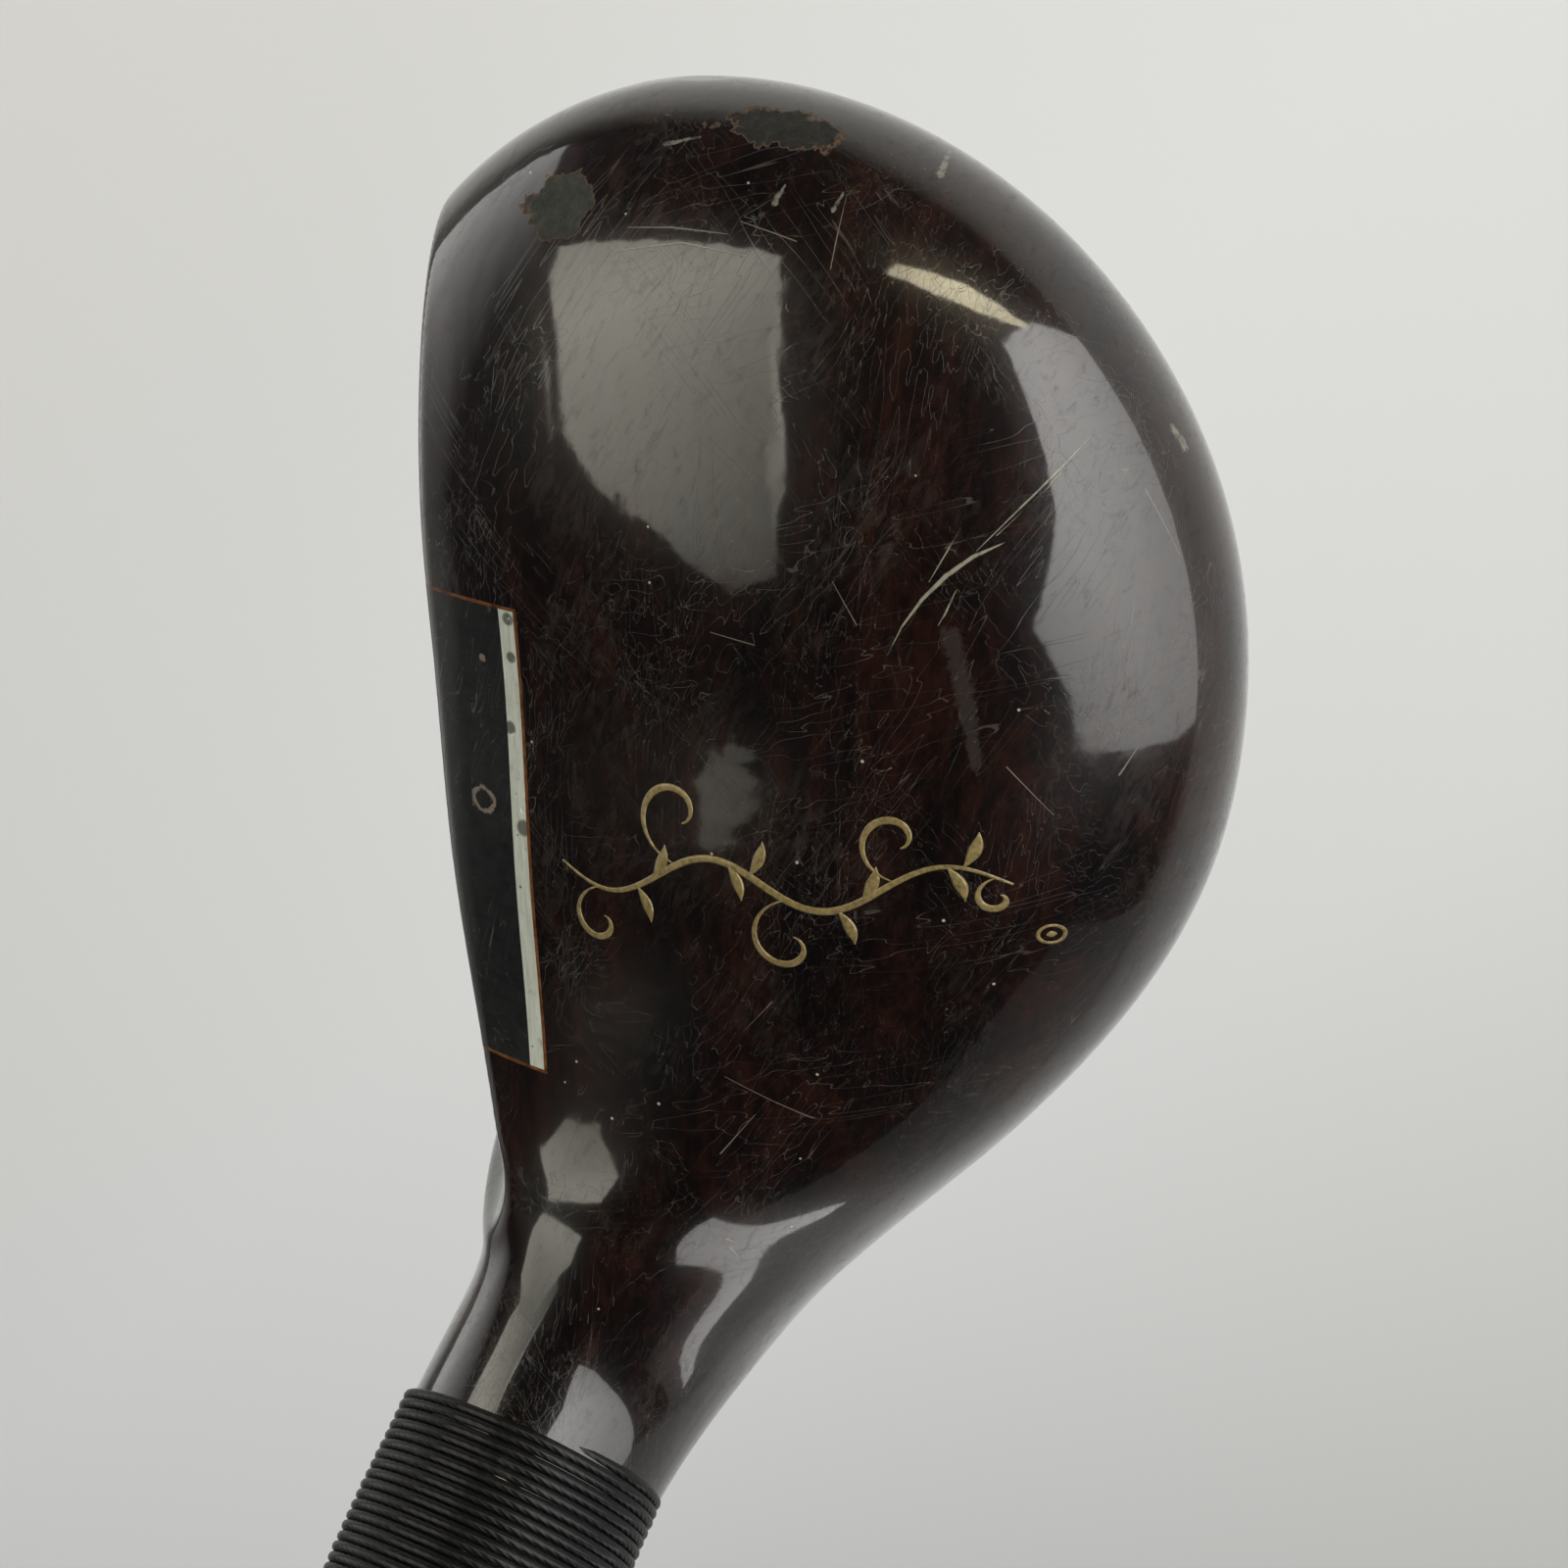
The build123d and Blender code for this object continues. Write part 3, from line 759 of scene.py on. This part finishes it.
def lacquered_wood():
    g = Graph("lacquered_wood_look", Coat_Roughness=0.055, Coat_IOR=1.52, IOR=1.45, Specular_IOR_Level=0.22)
    place = g.coords()
    grain = g.coords(turn=(0, 25, 0), scale=(0.018, 0.16, 0.16))
    bands = g.noise(grain, 1.0, 3.0, 0.55, 0.4)
    pores = g.streaks((0.30, 1.5, 1.5), 5.0, 0.75, turn=(0, 25, 0))
    mottle = g.streaks((0.35, 0.9, 0.9), 5.0, 0.7, turn=(0, 25, 0))
    tone = g.math("MULTIPLY_ADD", mottle, 0.40, g.times(bands, 0.50))
    tone = g.math("MULTIPLY_ADD", pores, 0.34, tone)
    wood = g.ramp(tone, [
        (0.52, (0.0012, 0.0008, 0.0009)), (0.62, (0.0042, 0.0017, 0.0014)), (0.74, (0.0130, 0.0042, 0.0026)),
    ])
    fine = g.noise(place, 1.3, 5.0, 0.7)
    cloud = g.step(g.streaks((0.07, 0.09, 0.09), 5.0, 0.62), 0.49, 0.72)
    wisps = g.streaks((0.35, 1.2, 0.8), 6.0, 0.75, 0.8, turn=(0, 0, 30))
    haze = g.times(g.math("MULTIPLY_ADD", cloud, 0.92, 0.08), g.step(wisps, 0.42, 0.68))
    wood = g.mix(g.times(haze, 0.40), wood, (0.040, 0.033, 0.029))
    hairs = g.any([scratches(g, *row) for row in (
        ((10, 20, 35), 26.0, 1.1, 0.005, 0.46, 0.58),
        ((-15, 5, -48), 18.0, 0.9, 0.0045, 0.50, 0.62),
        ((30, -10, 80), 30.0, 1.4, 0.0045, 0.48, 0.60),
        ((5, 15, 5), 12.0, 0.7, 0.0045, 0.48, 0.60),
    )])
    wood = g.mix(g.times(hairs, 0.26), wood, (0.12, 0.105, 0.09))
    cell = g.cells(place, 0.46)
    chance = g.axis(cell.outputs["Color"], "X")
    speck = g.times(g.step(cell.outputs["Distance"], 0.075, 0.045), g.step(chance, 0.84, 0.86))
    wood = g.mix(g.times(speck, 0.8), wood, (0.40, 0.38, 0.32))
    wobble = g.times(g.math("SUBTRACT", fine, 0.5), 0.5)
    deep = g.any([g.stroke(place, stroke, wobble) for stroke in gouges])
    light = g.any([g.stroke(place, stroke, wobble) for stroke in hair_marks])
    wood = g.mix(g.times(light, 0.55), wood, (0.20, 0.17, 0.14))
    wood = g.mix(g.times(deep, g.step(pores, 0.25, 0.55)), wood, (0.20, 0.20, 0.15))
    ragged = g.ragged(place, 2.2, 4.0, 0.7, 2.2)
    worn = g.any([g.stroke(place, stroke, ragged) for stroke in scuffs])
    smear = [(-21.1, 24.8, 30.5, 0.9), (-16.0, 25.9, 30.8, 0.8), (-11.0, 26.4, 30.8, 0.6)]
    smear = g.stroke(place, smear, ragged)
    worn = g.times(worn, g.step(fine, 0.3, 0.6))
    wood = g.mix(g.times(worn, 0.6), wood, (0.22, 0.22, 0.18))
    wood = g.mix(g.times(smear, 0.15), wood, (0.10, 0.09, 0.085))
    jagged = g.ragged(place, 0.55, 3.0, 0.6, 1.5)
    oval = g.patch(place, (-50.4, -9.6, 26.1), (2.5, 3.3, 2.6), jagged)
    long_chip = g.patch(place, (-55.2, 7.2, 19.8), (1.8, 5.0, 1.9), jagged)
    chip = g.math("MINIMUM", oval, long_chip)
    rim = g.step(chip, 1.10, 1.02)
    inside = g.step(chip, 1.02, 0.97)
    mould = g.noise(place, 1.1, 5.0, 0.75)
    dark_bare = g.ramp(mould, [
        (0.38, (0.007, 0.007, 0.006)), (0.58, (0.016, 0.016, 0.013)), (0.72, (0.032, 0.029, 0.022)),
    ])
    pale_bare = g.ramp(mould, [
        (0.35, (0.016, 0.017, 0.014)), (0.58, (0.034, 0.036, 0.030)), (0.70, (0.060, 0.060, 0.050)),
    ])
    bare = g.mix(g.step(oval, 1.2, 1.1), dark_bare, pale_bare)
    wood = g.mix(rim, wood, (0.075, 0.042, 0.024))
    wood = g.mix(inside, wood, bare)
    g.link(wood, "Base Color")
    rough = g.math("MULTIPLY_ADD", haze, 0.16, 0.26)
    g.link(g.math("ADD", rough, g.times(rim, 0.3), clamp=True), "Roughness")
    dulled = g.times(g.step(wisps, 0.50, 0.74), 0.42)
    dulled = g.any([dulled, rim, g.times(worn, 0.5), g.times(deep, 0.6)])
    g.link(g.math("SUBTRACT", 1.0, dulled), "Coat Weight")
    peel = g.noise(place, 0.55, 2.0, 0.5)
    cuts = g.any([hairs, light, deep])
    surface = g.bump(g.math("SUBTRACT", 1.0, cuts), 0.00002)
    surface = g.bump(g.times(mould, rim), 0.00022, surface)
    surface = g.bump(g.math("SUBTRACT", 1.0, rim), 0.00025, surface)
    g.link(surface, "Normal")
    ripple = g.math("MULTIPLY_ADD", wisps, 0.25, g.math("MULTIPLY_ADD", cuts, -0.6, peel))
    g.link(g.bump(ripple, 0.000004), "Coat Normal")
    return g


def black_fibre():
    g = Graph("black_fibre_look", Coat_Weight=0.75, Coat_Roughness=0.06, IOR=1.5, Specular_IOR_Level=0.25)
    place = g.coords()
    cloth = g.streaks((2.2, 0.5, 2.2), 4.0, 0.6)
    tone = g.ramp(cloth, [(0.3, (0.0028, 0.0030, 0.0036)), (0.7, (0.0075, 0.0078, 0.0088))])
    hairs = g.any([
        scratches(g, (0, 0, 20), 14.0, 0.8, 0.007, 0.46, 0.6),
        scratches(g, (0, 0, -60), 10.0, 0.8, 0.006, 0.5, 0.62),
    ])
    tone = g.mix(g.times(hairs, 0.35), tone, (0.12, 0.12, 0.12))
    ragged = g.ragged(place, 1.6, 4.0, 0.65, 1.0)
    ring = g.patch(place, (-2.8, -17.1, 36.6), (1.1, 1.3, 1.3), ragged)
    chip = g.step(g.math("ABSOLUTE", g.math("SUBTRACT", ring, 0.9)), 0.22, 0.08)
    speck = g.step(g.patch(place, (-15.1, -16.5, 35.0), (0.35, 0.35, 0.35), ragged), 1.1, 0.8)
    mark = g.math("MAXIMUM", chip, speck)
    tone = g.mix(g.times(mark, 0.85), tone, (0.17, 0.14, 0.11))
    g.link(tone, "Base Color")
    g.link(g.math("MULTIPLY_ADD", g.noise(place, 0.6, 4.0, 0.6), 0.3, 0.22), "Roughness")
    g.link(g.bump(g.math("ADD", g.times(cloth, 0.3), mark), 0.00003), "Normal")
    return g


def white_fibre():
    g = Graph("white_fibre_look", Roughness=0.38, Coat_Weight=0.6, Coat_Roughness=0.12, IOR=1.5)
    place = g.coords()
    streaks = g.streaks((0.15, 3.0, 3.0), 4.0, 0.6)
    cream = [(0.3, (0.33, 0.34, 0.29)), (0.55, (0.42, 0.45, 0.40)), (0.8, (0.50, 0.52, 0.47))]
    tone = g.ramp(streaks, cream)
    grime = g.step(g.noise(place, 0.7, 5.0, 0.75), 0.56, 0.72)
    tone = g.mix(g.times(grime, 0.45), tone, (0.10, 0.085, 0.06))
    cell = g.cells(place, 0.9)
    spot = g.times(g.step(cell.outputs["Distance"], 0.16, 0.09),
                  g.step(g.axis(cell.outputs["Color"], "Y"), 0.78, 0.8))
    # Painted shade: near-black patches in the strip's chipped notches, where the chips cut in make_head
    # leave recesses
    notch_shade = g.any([g.step(g.vector("DISTANCE", place, point), size, size * 0.6) for point, size in (
        ((-19, -13.2, 35.0), 0.7), ((-15.7, -13.3, 35.2), 0.6),
        ((-9.6, -13.9, 35.8), 0.7), ((-1.3, -12.7, 37.5), 0.9),
    )])
    # The random dark specks are dirt; the patches at the notches are painted shade
    tone = g.mix(g.times(g.math("MAXIMUM", spot, notch_shade), 0.8), tone, (0.012, 0.010, 0.008))
    g.link(tone, "Base Color")
    g.link(g.bump(streaks, 0.00002), "Normal")
    return g


def amber_glue():
    g = Graph("amber_glue_look", Roughness=0.22, IOR=1.5)
    amber = [(0.3, (0.035, 0.012, 0.004)), (0.7, (0.16, 0.06, 0.018))]
    g.link(g.ramp(g.noise(g.coords(), 0.8, 4.0, 0.6), amber), "Base Color")
    g.link(g.bump(g.noise(g.coords(), 1.5, 3.0), 0.00003), "Normal")
    return g


# -------------------- whipping

whip_start, whip_end, pitch, cord_radius = 50.0, 115.0, 0.98, 0.49
neck_sizes = [(50, 12.2), (62, 12.2), (75, 11.7), (90, 10.4), (103, 9.1), (115, 8.2)]


def frame_place(along, angle, radius):
    """Place in mm round the shaft axis."""
    return heel + shaft * along + radius * (cos(angle) * shaft_up + sin(angle) * across)


def thread(name, along, angle, radius, thick, sides=10):
    """Tube round a run of places given by their distance along the shaft, angle and radius."""
    turns = np.linspace(0, 2 * pi, sides, endpoint=False)
    rings = []
    for s, a, r, t in zip(along, angle, radius, thick):
        out = cos(a) * shaft_up + sin(a) * across
        centre = heel + shaft * s + out * r
        rings.append([centre + t * (cos(k) * out + sin(k) * shaft) for k in turns])
    points = np.array(rings).reshape(-1, 3) * MM
    faces = tube_faces(len(rings), sides)
    faces.append(tuple(range(sides)))
    faces.append(tuple((len(rings) - 1) * sides + j for j in range(sides))[::-1])
    mesh = bpy.data.meshes.new(name)
    mesh.from_pydata(points.tolist(), [], faces)
    uv = mesh.uv_layers.new(name="UVMap")
    steps = np.diff(points.reshape(-1, sides, 3)[:, 0], axis=0)
    length = np.concatenate(((0,), np.cumsum(np.linalg.norm(steps, axis=1))))
    for face in mesh.polygons:
        for loop in face.loop_indices:
            v = mesh.loops[loop].vertex_index
            uv.data[loop].uv = (length[v // sides] * 100, (v % sides) / sides)
    mesh.shade_smooth()
    return mesh


def make_whipping():
    """One waxed thread wound from the head to the collar, its turns touching."""
    rng = np.random.default_rng(12)
    turns = (whip_end - whip_start - 2 * cord_radius) / pitch
    count = int(turns * 110)
    turn = np.linspace(0, turns, count)
    angle = 2 * pi * turn
    along = whip_start + cord_radius + turn * pitch
    leaning = np.arange(0, turns + 1, 0.37)
    along = along + np.interp(turn, leaning, rng.normal(0, 0.035, len(leaning)))
    sizes = np.array(neck_sizes)
    rising = np.arange(0, turns + 1, 0.21)
    rise = np.interp(turn, rising, rng.normal(0, 0.02, len(rising)))
    radius = np.interp(along, sizes[:, 0], sizes[:, 1]) + cord_radius - 0.03 + rise
    thick = cord_radius * (1 + 0.02 * np.sin(turn * 37.0))
    ends = np.minimum(turn, turns - turn) / 0.25
    radius -= np.clip(1 - ends, 0, 1) * 0.8
    return thread("whipping_thread", along, angle, radius, thick)


def make_frays():
    """A few loose fibres that stand off the thread."""
    rng = np.random.default_rng(5)
    made = []
    sizes = np.array(neck_sizes)
    for _ in range(26):
        start = rng.uniform(52, 112)
        where = rng.uniform(0, 2 * pi)
        span = rng.uniform(0.10, 0.35)
        steps = np.linspace(0, 1, 14)
        along = start + rng.uniform(-1.6, 1.6) * steps + 0.3 * np.sin(steps * rng.uniform(3, 7))
        base = np.interp(along, sizes[:, 0], sizes[:, 1]) + 2 * cord_radius
        radius = base + rng.uniform(0.15, 0.5) * np.sin(pi * steps ** 0.8) - 0.05
        made.append(thread("fray", along, where + span * steps, radius, 0.035 * (1.2 - steps), 6))
    bm = bmesh.new()
    for mesh in made:
        bm.from_mesh(mesh)
    return to_mesh(bm, "whipping_frays")


def black_thread():
    g = Graph("black_thread_look", Coat_Weight=0.2, Coat_Roughness=0.16, Specular_IOR_Level=0.2)
    place = g.coords()
    where = g.node("TexCoord").outputs["UV"]
    twist = g.node("Mapping", where, (0, 0, 0), (0, 0, radians(28)), (1.0, 1.4, 1.0)).outputs[0]
    strand = g.node("TexWave", twist, wave_type="BANDS", bands_direction="X")
    strand.inputs["Scale"].default_value = 3.0
    strand.inputs["Distortion"].default_value = 1.2
    strand.inputs["Detail"].default_value = 2.0
    drawn = g.node("Mapping", where, (0, 0, 0), (0, 0, 0), (6.0, 22.0, 1.0)).outputs[0]
    fibre = g.noise(drawn, 1.0, 4.0, 0.7)
    tone = g.ramp(fibre, [
        (0.30, (0.0012, 0.0013, 0.0015)), (0.60, (0.0032, 0.0034, 0.0036)), (0.85, (0.014, 0.015, 0.015)),
    ])
    wax = g.step(g.noise(place, 0.16, 5.0, 0.7), 0.58, 0.72)
    wax = g.times(wax, g.step(g.noise(place, 2.2, 4.0, 0.7), 0.32, 0.62))
    tone = g.mix(g.times(wax, 0.35), tone, (0.065, 0.072, 0.064))
    dust = g.step(g.noise(place, 1.6, 6.0, 0.8), 0.66, 0.74)
    tone = g.mix(g.times(dust, 0.25), tone, (0.10, 0.10, 0.09))
    g.link(tone, "Base Color")
    g.link(g.blend(fibre, 0.28, 0.62), "Roughness")
    surface = g.bump(strand.outputs["Fac"], 0.00006)
    g.link(g.bump(fibre, 0.00003, surface), "Normal")
    return g


# -------------------- gold ornament on the crown

def flourish():
    """Lines of a plain scroll with leaves, as (x, y) places on the crown and half widths, in mm."""
    lines = []
    t = np.linspace(0, 1, 200)
    sway = 1.9 * np.sin(2 * pi * 2 * t)
    stem = np.stack((0.6 + sway - 1.5 * t, -8.6 + 37.5 * t), 1)
    lines.append((stem, 0.10 + 0.24 * np.sin(pi * t) ** 0.8))
    curls = ((0.10, 1, 3.0), (0.30, -1, 4.2), (0.55, 1, 3.8), (0.78, -1, 3.4), (0.97, 1, 1.8))
    for share, side, size in curls:
        root = stem[int(share * 199)]
        w = np.linspace(0, 1, 110)
        turn = pi + 5.6 * w
        reach = size * (1 - 0.80 * w ** 0.8)
        middle = root + np.array((side * size, 0.0))
        curl = middle + np.stack((side * reach * np.cos(turn), reach * np.sin(turn)), 1)
        lines.append((curl, 0.07 + 0.25 * np.sin(pi * w) ** 1.3))
    leaves = zip((0.20, 0.24, 0.42, 0.47, 0.66, 0.71, 0.88, 0.91), (1, -1) * 4)
    for share, side in leaves:
        root = stem[int(share * 199)]
        w = np.linspace(0, 1, 40)
        leaf = root + np.stack((side * 3.0 * w, 2.4 * w - 1.2 * w * w), 1)
        lines.append((leaf, 0.04 + 0.46 * np.sin(pi * w) ** 1.2))
    w = np.linspace(0, 1, 60)
    ring = np.stack((4.1 + 0.85 * np.cos(2 * pi * w), 31.0 + 0.85 * np.sin(2 * pi * w)), 1)
    lines.append((ring, 0.14 + 0 * w))
    lines.append((np.stack((4.1 + 0 * w, 30.65 + 0.7 * w), 1), 0.03 + 0.3 * np.sin(pi * w)))
    return lines


def make_ornament(wood):
    """Ribbons of gold leaf laid on the crown."""
    tree = BVHTree.FromPolygons([v.co for v in wood.vertices], [p.vertices for p in wood.polygons])
    bm = bmesh.new()
    for line, half in flourish():
        direction_along = np.gradient(line, axis=0)
        direction_along /= np.linalg.norm(direction_along, axis=1)[:, None]
        side = np.stack((-direction_along[:, 1], direction_along[:, 0]), 1)
        rows = []
        for place, sideways, reach in zip(line, side, half):
            row = []
            for offset, lift in ((-1, 0.004), (-0.6, 0.03), (0.6, 0.03), (1, 0.004)):
                x, y = place + sideways * reach * offset
                spot, normal, _, _ = tree.ray_cast(Vector((x, y, 80)) * MM, Vector((0, 0, -1)))
                row.append(bm.verts.new(spot + normal * lift * MM))
            rows.append(row)
        for first, second in zip(rows, rows[1:]):
            for k in range(3):
                bm.faces.new((first[k], second[k], second[k + 1], first[k + 1]))
            bm.faces.new((first[3], second[3], second[0], first[0]))
        bm.faces.new(rows[0])
        bm.faces.new(rows[-1])
    bmesh.ops.recalc_face_normals(bm, faces=bm.faces)
    mesh = to_mesh(bm, "crown_ornament")
    mesh.shade_smooth()
    return mesh


def gold_leaf():
    g = Graph("gold_leaf_look", Metallic=0.35, Roughness=0.45, Coat_Weight=0.7, Coat_Roughness=0.12)
    worn = g.noise(g.coords(), 2.4, 5.0, 0.7)
    gold = [(0.30, (0.07, 0.050, 0.016)), (0.48, (0.20, 0.150, 0.056)), (0.75, (0.32, 0.25, 0.11))]
    g.link(g.ramp(worn, gold), "Base Color")
    g.link(g.bump(worn, 0.00002), "Normal")
    return g


# -------------------- metal, plastic and rubber

def brushed_alloy(name, turn, tone):
    g = Graph(name, Metallic=1.0, IOR=1.5)
    lines = g.streaks((0.05, 3.5, 3.5), 5.0, 0.7, turn=(0, 0, turn))
    dark = tuple(0.62 * c for c in tone)
    base = g.ramp(lines, [(0.3, dark), (0.6, tone)])
    scrape = g.any([
        scratches(g, (0, 0, 84), 30.0, 0.9, 0.012, 0.40, 0.55),
        scratches(g, (0, 0, 71), 22.0, 1.2, 0.010, 0.45, 0.60),
    ])
    dull = g.step(g.noise(g.coords(), 0.12, 5.0, 0.65), 0.45, 0.7)
    base = g.mix(g.times(dull, 0.4), base, tuple(0.45 * c for c in tone))
    g.link(g.mix(g.times(scrape, 0.5), base, (0.8, 0.8, 0.78)), "Base Color")
    g.link(g.math("ADD", g.blend(lines, 0.24, 0.40), g.times(dull, 0.15)), "Roughness")
    g.link(g.bump(g.math("SUBTRACT", lines, scrape), 0.00002), "Normal")
    return g


def chrome():
    g = Graph("chrome_look", Metallic=1.0)
    wear = g.step(g.noise(g.coords(), 0.25, 5.0, 0.75), 0.55, 0.75)
    g.link(g.mix(g.times(wear, 0.35), (0.62, 0.63, 0.65), (0.30, 0.29, 0.28)), "Base Color")
    g.link(g.math("MULTIPLY_ADD", wear, 0.22, 0.08), "Roughness")
    g.link(g.bump(g.streaks((0.3, 4, 0.3), 4.0), 0.000004), "Normal")
    return g


def plain_look(name, stretch, texture, stops, roughness, relief, **sockets):
    """Look with one noise behind its colour and its relief, and that noise."""
    g = Graph(name, Roughness=roughness, **sockets)
    height = g.noise(g.coords(scale=stretch), *texture)
    g.link(g.ramp(height, stops), "Base Color")
    g.link(g.bump(height, relief), "Normal")
    return g, height


def black_plastic():
    stops = [(0.3, (0.006, 0.006, 0.0065)), (0.8, (0.018, 0.018, 0.018))]
    g, grit = plain_look("black_plastic_look", (1, 1, 1), (2.5, 5.0, 0.7), stops, 0.5, 0.00001, IOR=1.46)
    g.link(g.math("MULTIPLY_ADD", grit, 0.25, 0.18), "Roughness")
    return g


def plain_wood():
    stops = [(0.3, (0.20, 0.10, 0.045)), (0.7, (0.42, 0.25, 0.12))]
    return plain_look("bare_wood_look", (0.6, 0.6, 0.08), (1.0, 5.0, 0.6, 1.5), stops, 0.6, 0.00004)[0]


def paper_tape():
    stops = [(0.3, (0.42, 0.34, 0.21)), (0.7, (0.60, 0.50, 0.34))]
    return plain_look("paper_tape_look", (1, 1, 1), (0.9, 6.0, 0.75), stops, 0.8, 0.00005)[0]


def grip_rubber():
    g = Graph("grip_rubber_look", IOR=1.5)
    grit = g.noise(g.coords(), 1.8, 6.0, 0.75)
    worn = g.step(g.noise(g.coords(), 0.05, 4.0, 0.6), 0.45, 0.7)
    tone = g.ramp(grit, [(0.3, (0.008, 0.008, 0.0085)), (0.75, (0.022, 0.022, 0.021))])
    g.link(g.mix(g.times(worn, 0.4), tone, (0.035, 0.034, 0.032)), "Base Color")
    g.link(g.math("MULTIPLY_ADD", grit, 0.2, 0.5), "Roughness")
    g.link(g.bump(grit, 0.00006), "Normal")
    return g


# -------------------- grip

def make_grip():
    """Rubber sleeve with a spiral groove and rows of short ribs, its profile taken from the CAD grip."""
    places = vertex_places("grip")
    along = (places - heel) @ shaft
    outward = places - heel - along[:, None] * shaft
    radius = np.linalg.norm(outward, axis=1)
    start, end = along.min(), along.max()
    outer = radius > 9.0
    stations = np.unique(np.round(along[outer], 2))
    profile = np.array([(s, radius[outer & (abs(along - s) < 0.02)].max()) for s in stations])
    edge, sides = 2.0, 160
    steps = np.concatenate((
        np.linspace(start, start + edge, 8),
        np.linspace(start + edge, end - edge, 900)[1:-1],
        np.linspace(end - edge, end, 12),
    ))
    inner = (radius > 4) & (radius < 9) & (along < end - 3)
    bore_radius = radius[inner & (along < start + 3)].min()
    bore_floor = along[inner].max()
    floor_radius = radius[inner & (along > bore_floor - 0.1)].max()

    def circle(s, size):
        return [frame_place(s, 2 * pi * j / sides, size) for j in range(sides)]

    rings = [circle(bore_floor, floor_radius), circle(start, bore_radius)]
    lead, rib_pitch, groove_depth, rib_depth = 15.0, 2.6, 0.75, 0.35
    for s in steps:
        size = np.interp(s, profile[:, 0], profile[:, 1])
        patterned = np.clip((s - start - 14) / 2, 0, 1) * np.clip((end - 24 - s) / 2, 0, 1)
        ring = []
        for j in range(sides):
            a = 2 * pi * j / sides
            spiral = abs(((s - start) / lead - j / sides) % 1.0 - 0.5)
            groove = max(0.0, 1 - spiral / 0.055)
            rib = max(0.0, sin(2 * pi * (s / rib_pitch))) * max(0.0, cos(a * 8)) ** 0.5
            rib = rib if spiral > 0.12 else 0.0
            relief = groove_depth * min(1.0, groove * 1.6) + rib_depth * rib
            ring.append(frame_place(s, a, size - patterned * relief))
        rings.append(ring)
    # The flat end, with the mouth of the vent in its middle
    for inset in (0.5, 1.2, 2.0):
        rings.append(circle(end, max(profile[-1][1] - inset, 2)))
    for size, depth in ((1.9, 0.0), (1.5, 0.3), (1.5, 6.0)):
        rings.append(circle(end - depth, size))
    points = np.array(rings).reshape(-1, 3) * MM
    faces = tube_faces(len(rings), sides)
    faces.append(tuple((len(rings) - 1) * sides + j for j in range(sides)))
    faces.append(tuple(range(sides)))
    mesh = bpy.data.meshes.new("grip_sleeve")
    mesh.from_pydata(points.tolist(), [], faces)
    face_outwards(mesh)
    mesh.shade_smooth()
    mesh.set_sharp_from_angle(angle=radians(50))
    return mesh


# -------------------- the club

make_camera()
make_lights()
make_world()
make_floor()
bpy.context.scene.view_settings.view_transform = "Standard"

wood_mesh, block_mesh, strip_mesh, glue_mesh = make_head()
dress(add_piece("head_wood", wood_mesh, "head"), lacquered_wood(), 35)
dress(add_piece("insert_block", block_mesh, "face_insert"), black_fibre(), 35)
dress(add_piece("insert_strip", strip_mesh, "insert_spacer"), white_fibre(), 35)
dress(add_piece("insert_glue", glue_mesh, "insert_bedding"), amber_glue(), 35)
thread_look = black_thread()
dress(add_piece("whipping_thread", make_whipping(), "whipping"), thread_look)
dress(add_piece("whipping_frays", make_frays()), thread_look)
dress(add_piece("crown_ornament", make_ornament(wood_mesh)), gold_leaf())
dress(add_piece("grip_sleeve", make_grip(), "grip"), grip_rubber())

brass = brushed_alloy("brass_look", 30, (0.62, 0.45, 0.20))
steel = brushed_alloy("steel_look", 30, (0.55, 0.55, 0.56))
for name, look in (
    ("face_insert_screws", brass), ("sole_plate", brushed_alloy("alloy_look", 0, (0.60, 0.60, 0.61))),
    ("sole_plate_screws", steel), ("sole_weight", brushed_alloy("lead_look", 10, (0.20, 0.20, 0.22))),
    ("shaft", chrome()), ("shaft_plug", plain_wood()), ("neck_pin", steel),
    ("neck_collar", black_plastic()), ("grip_tape", paper_tape()),
):
    dress(nodes[name], look)
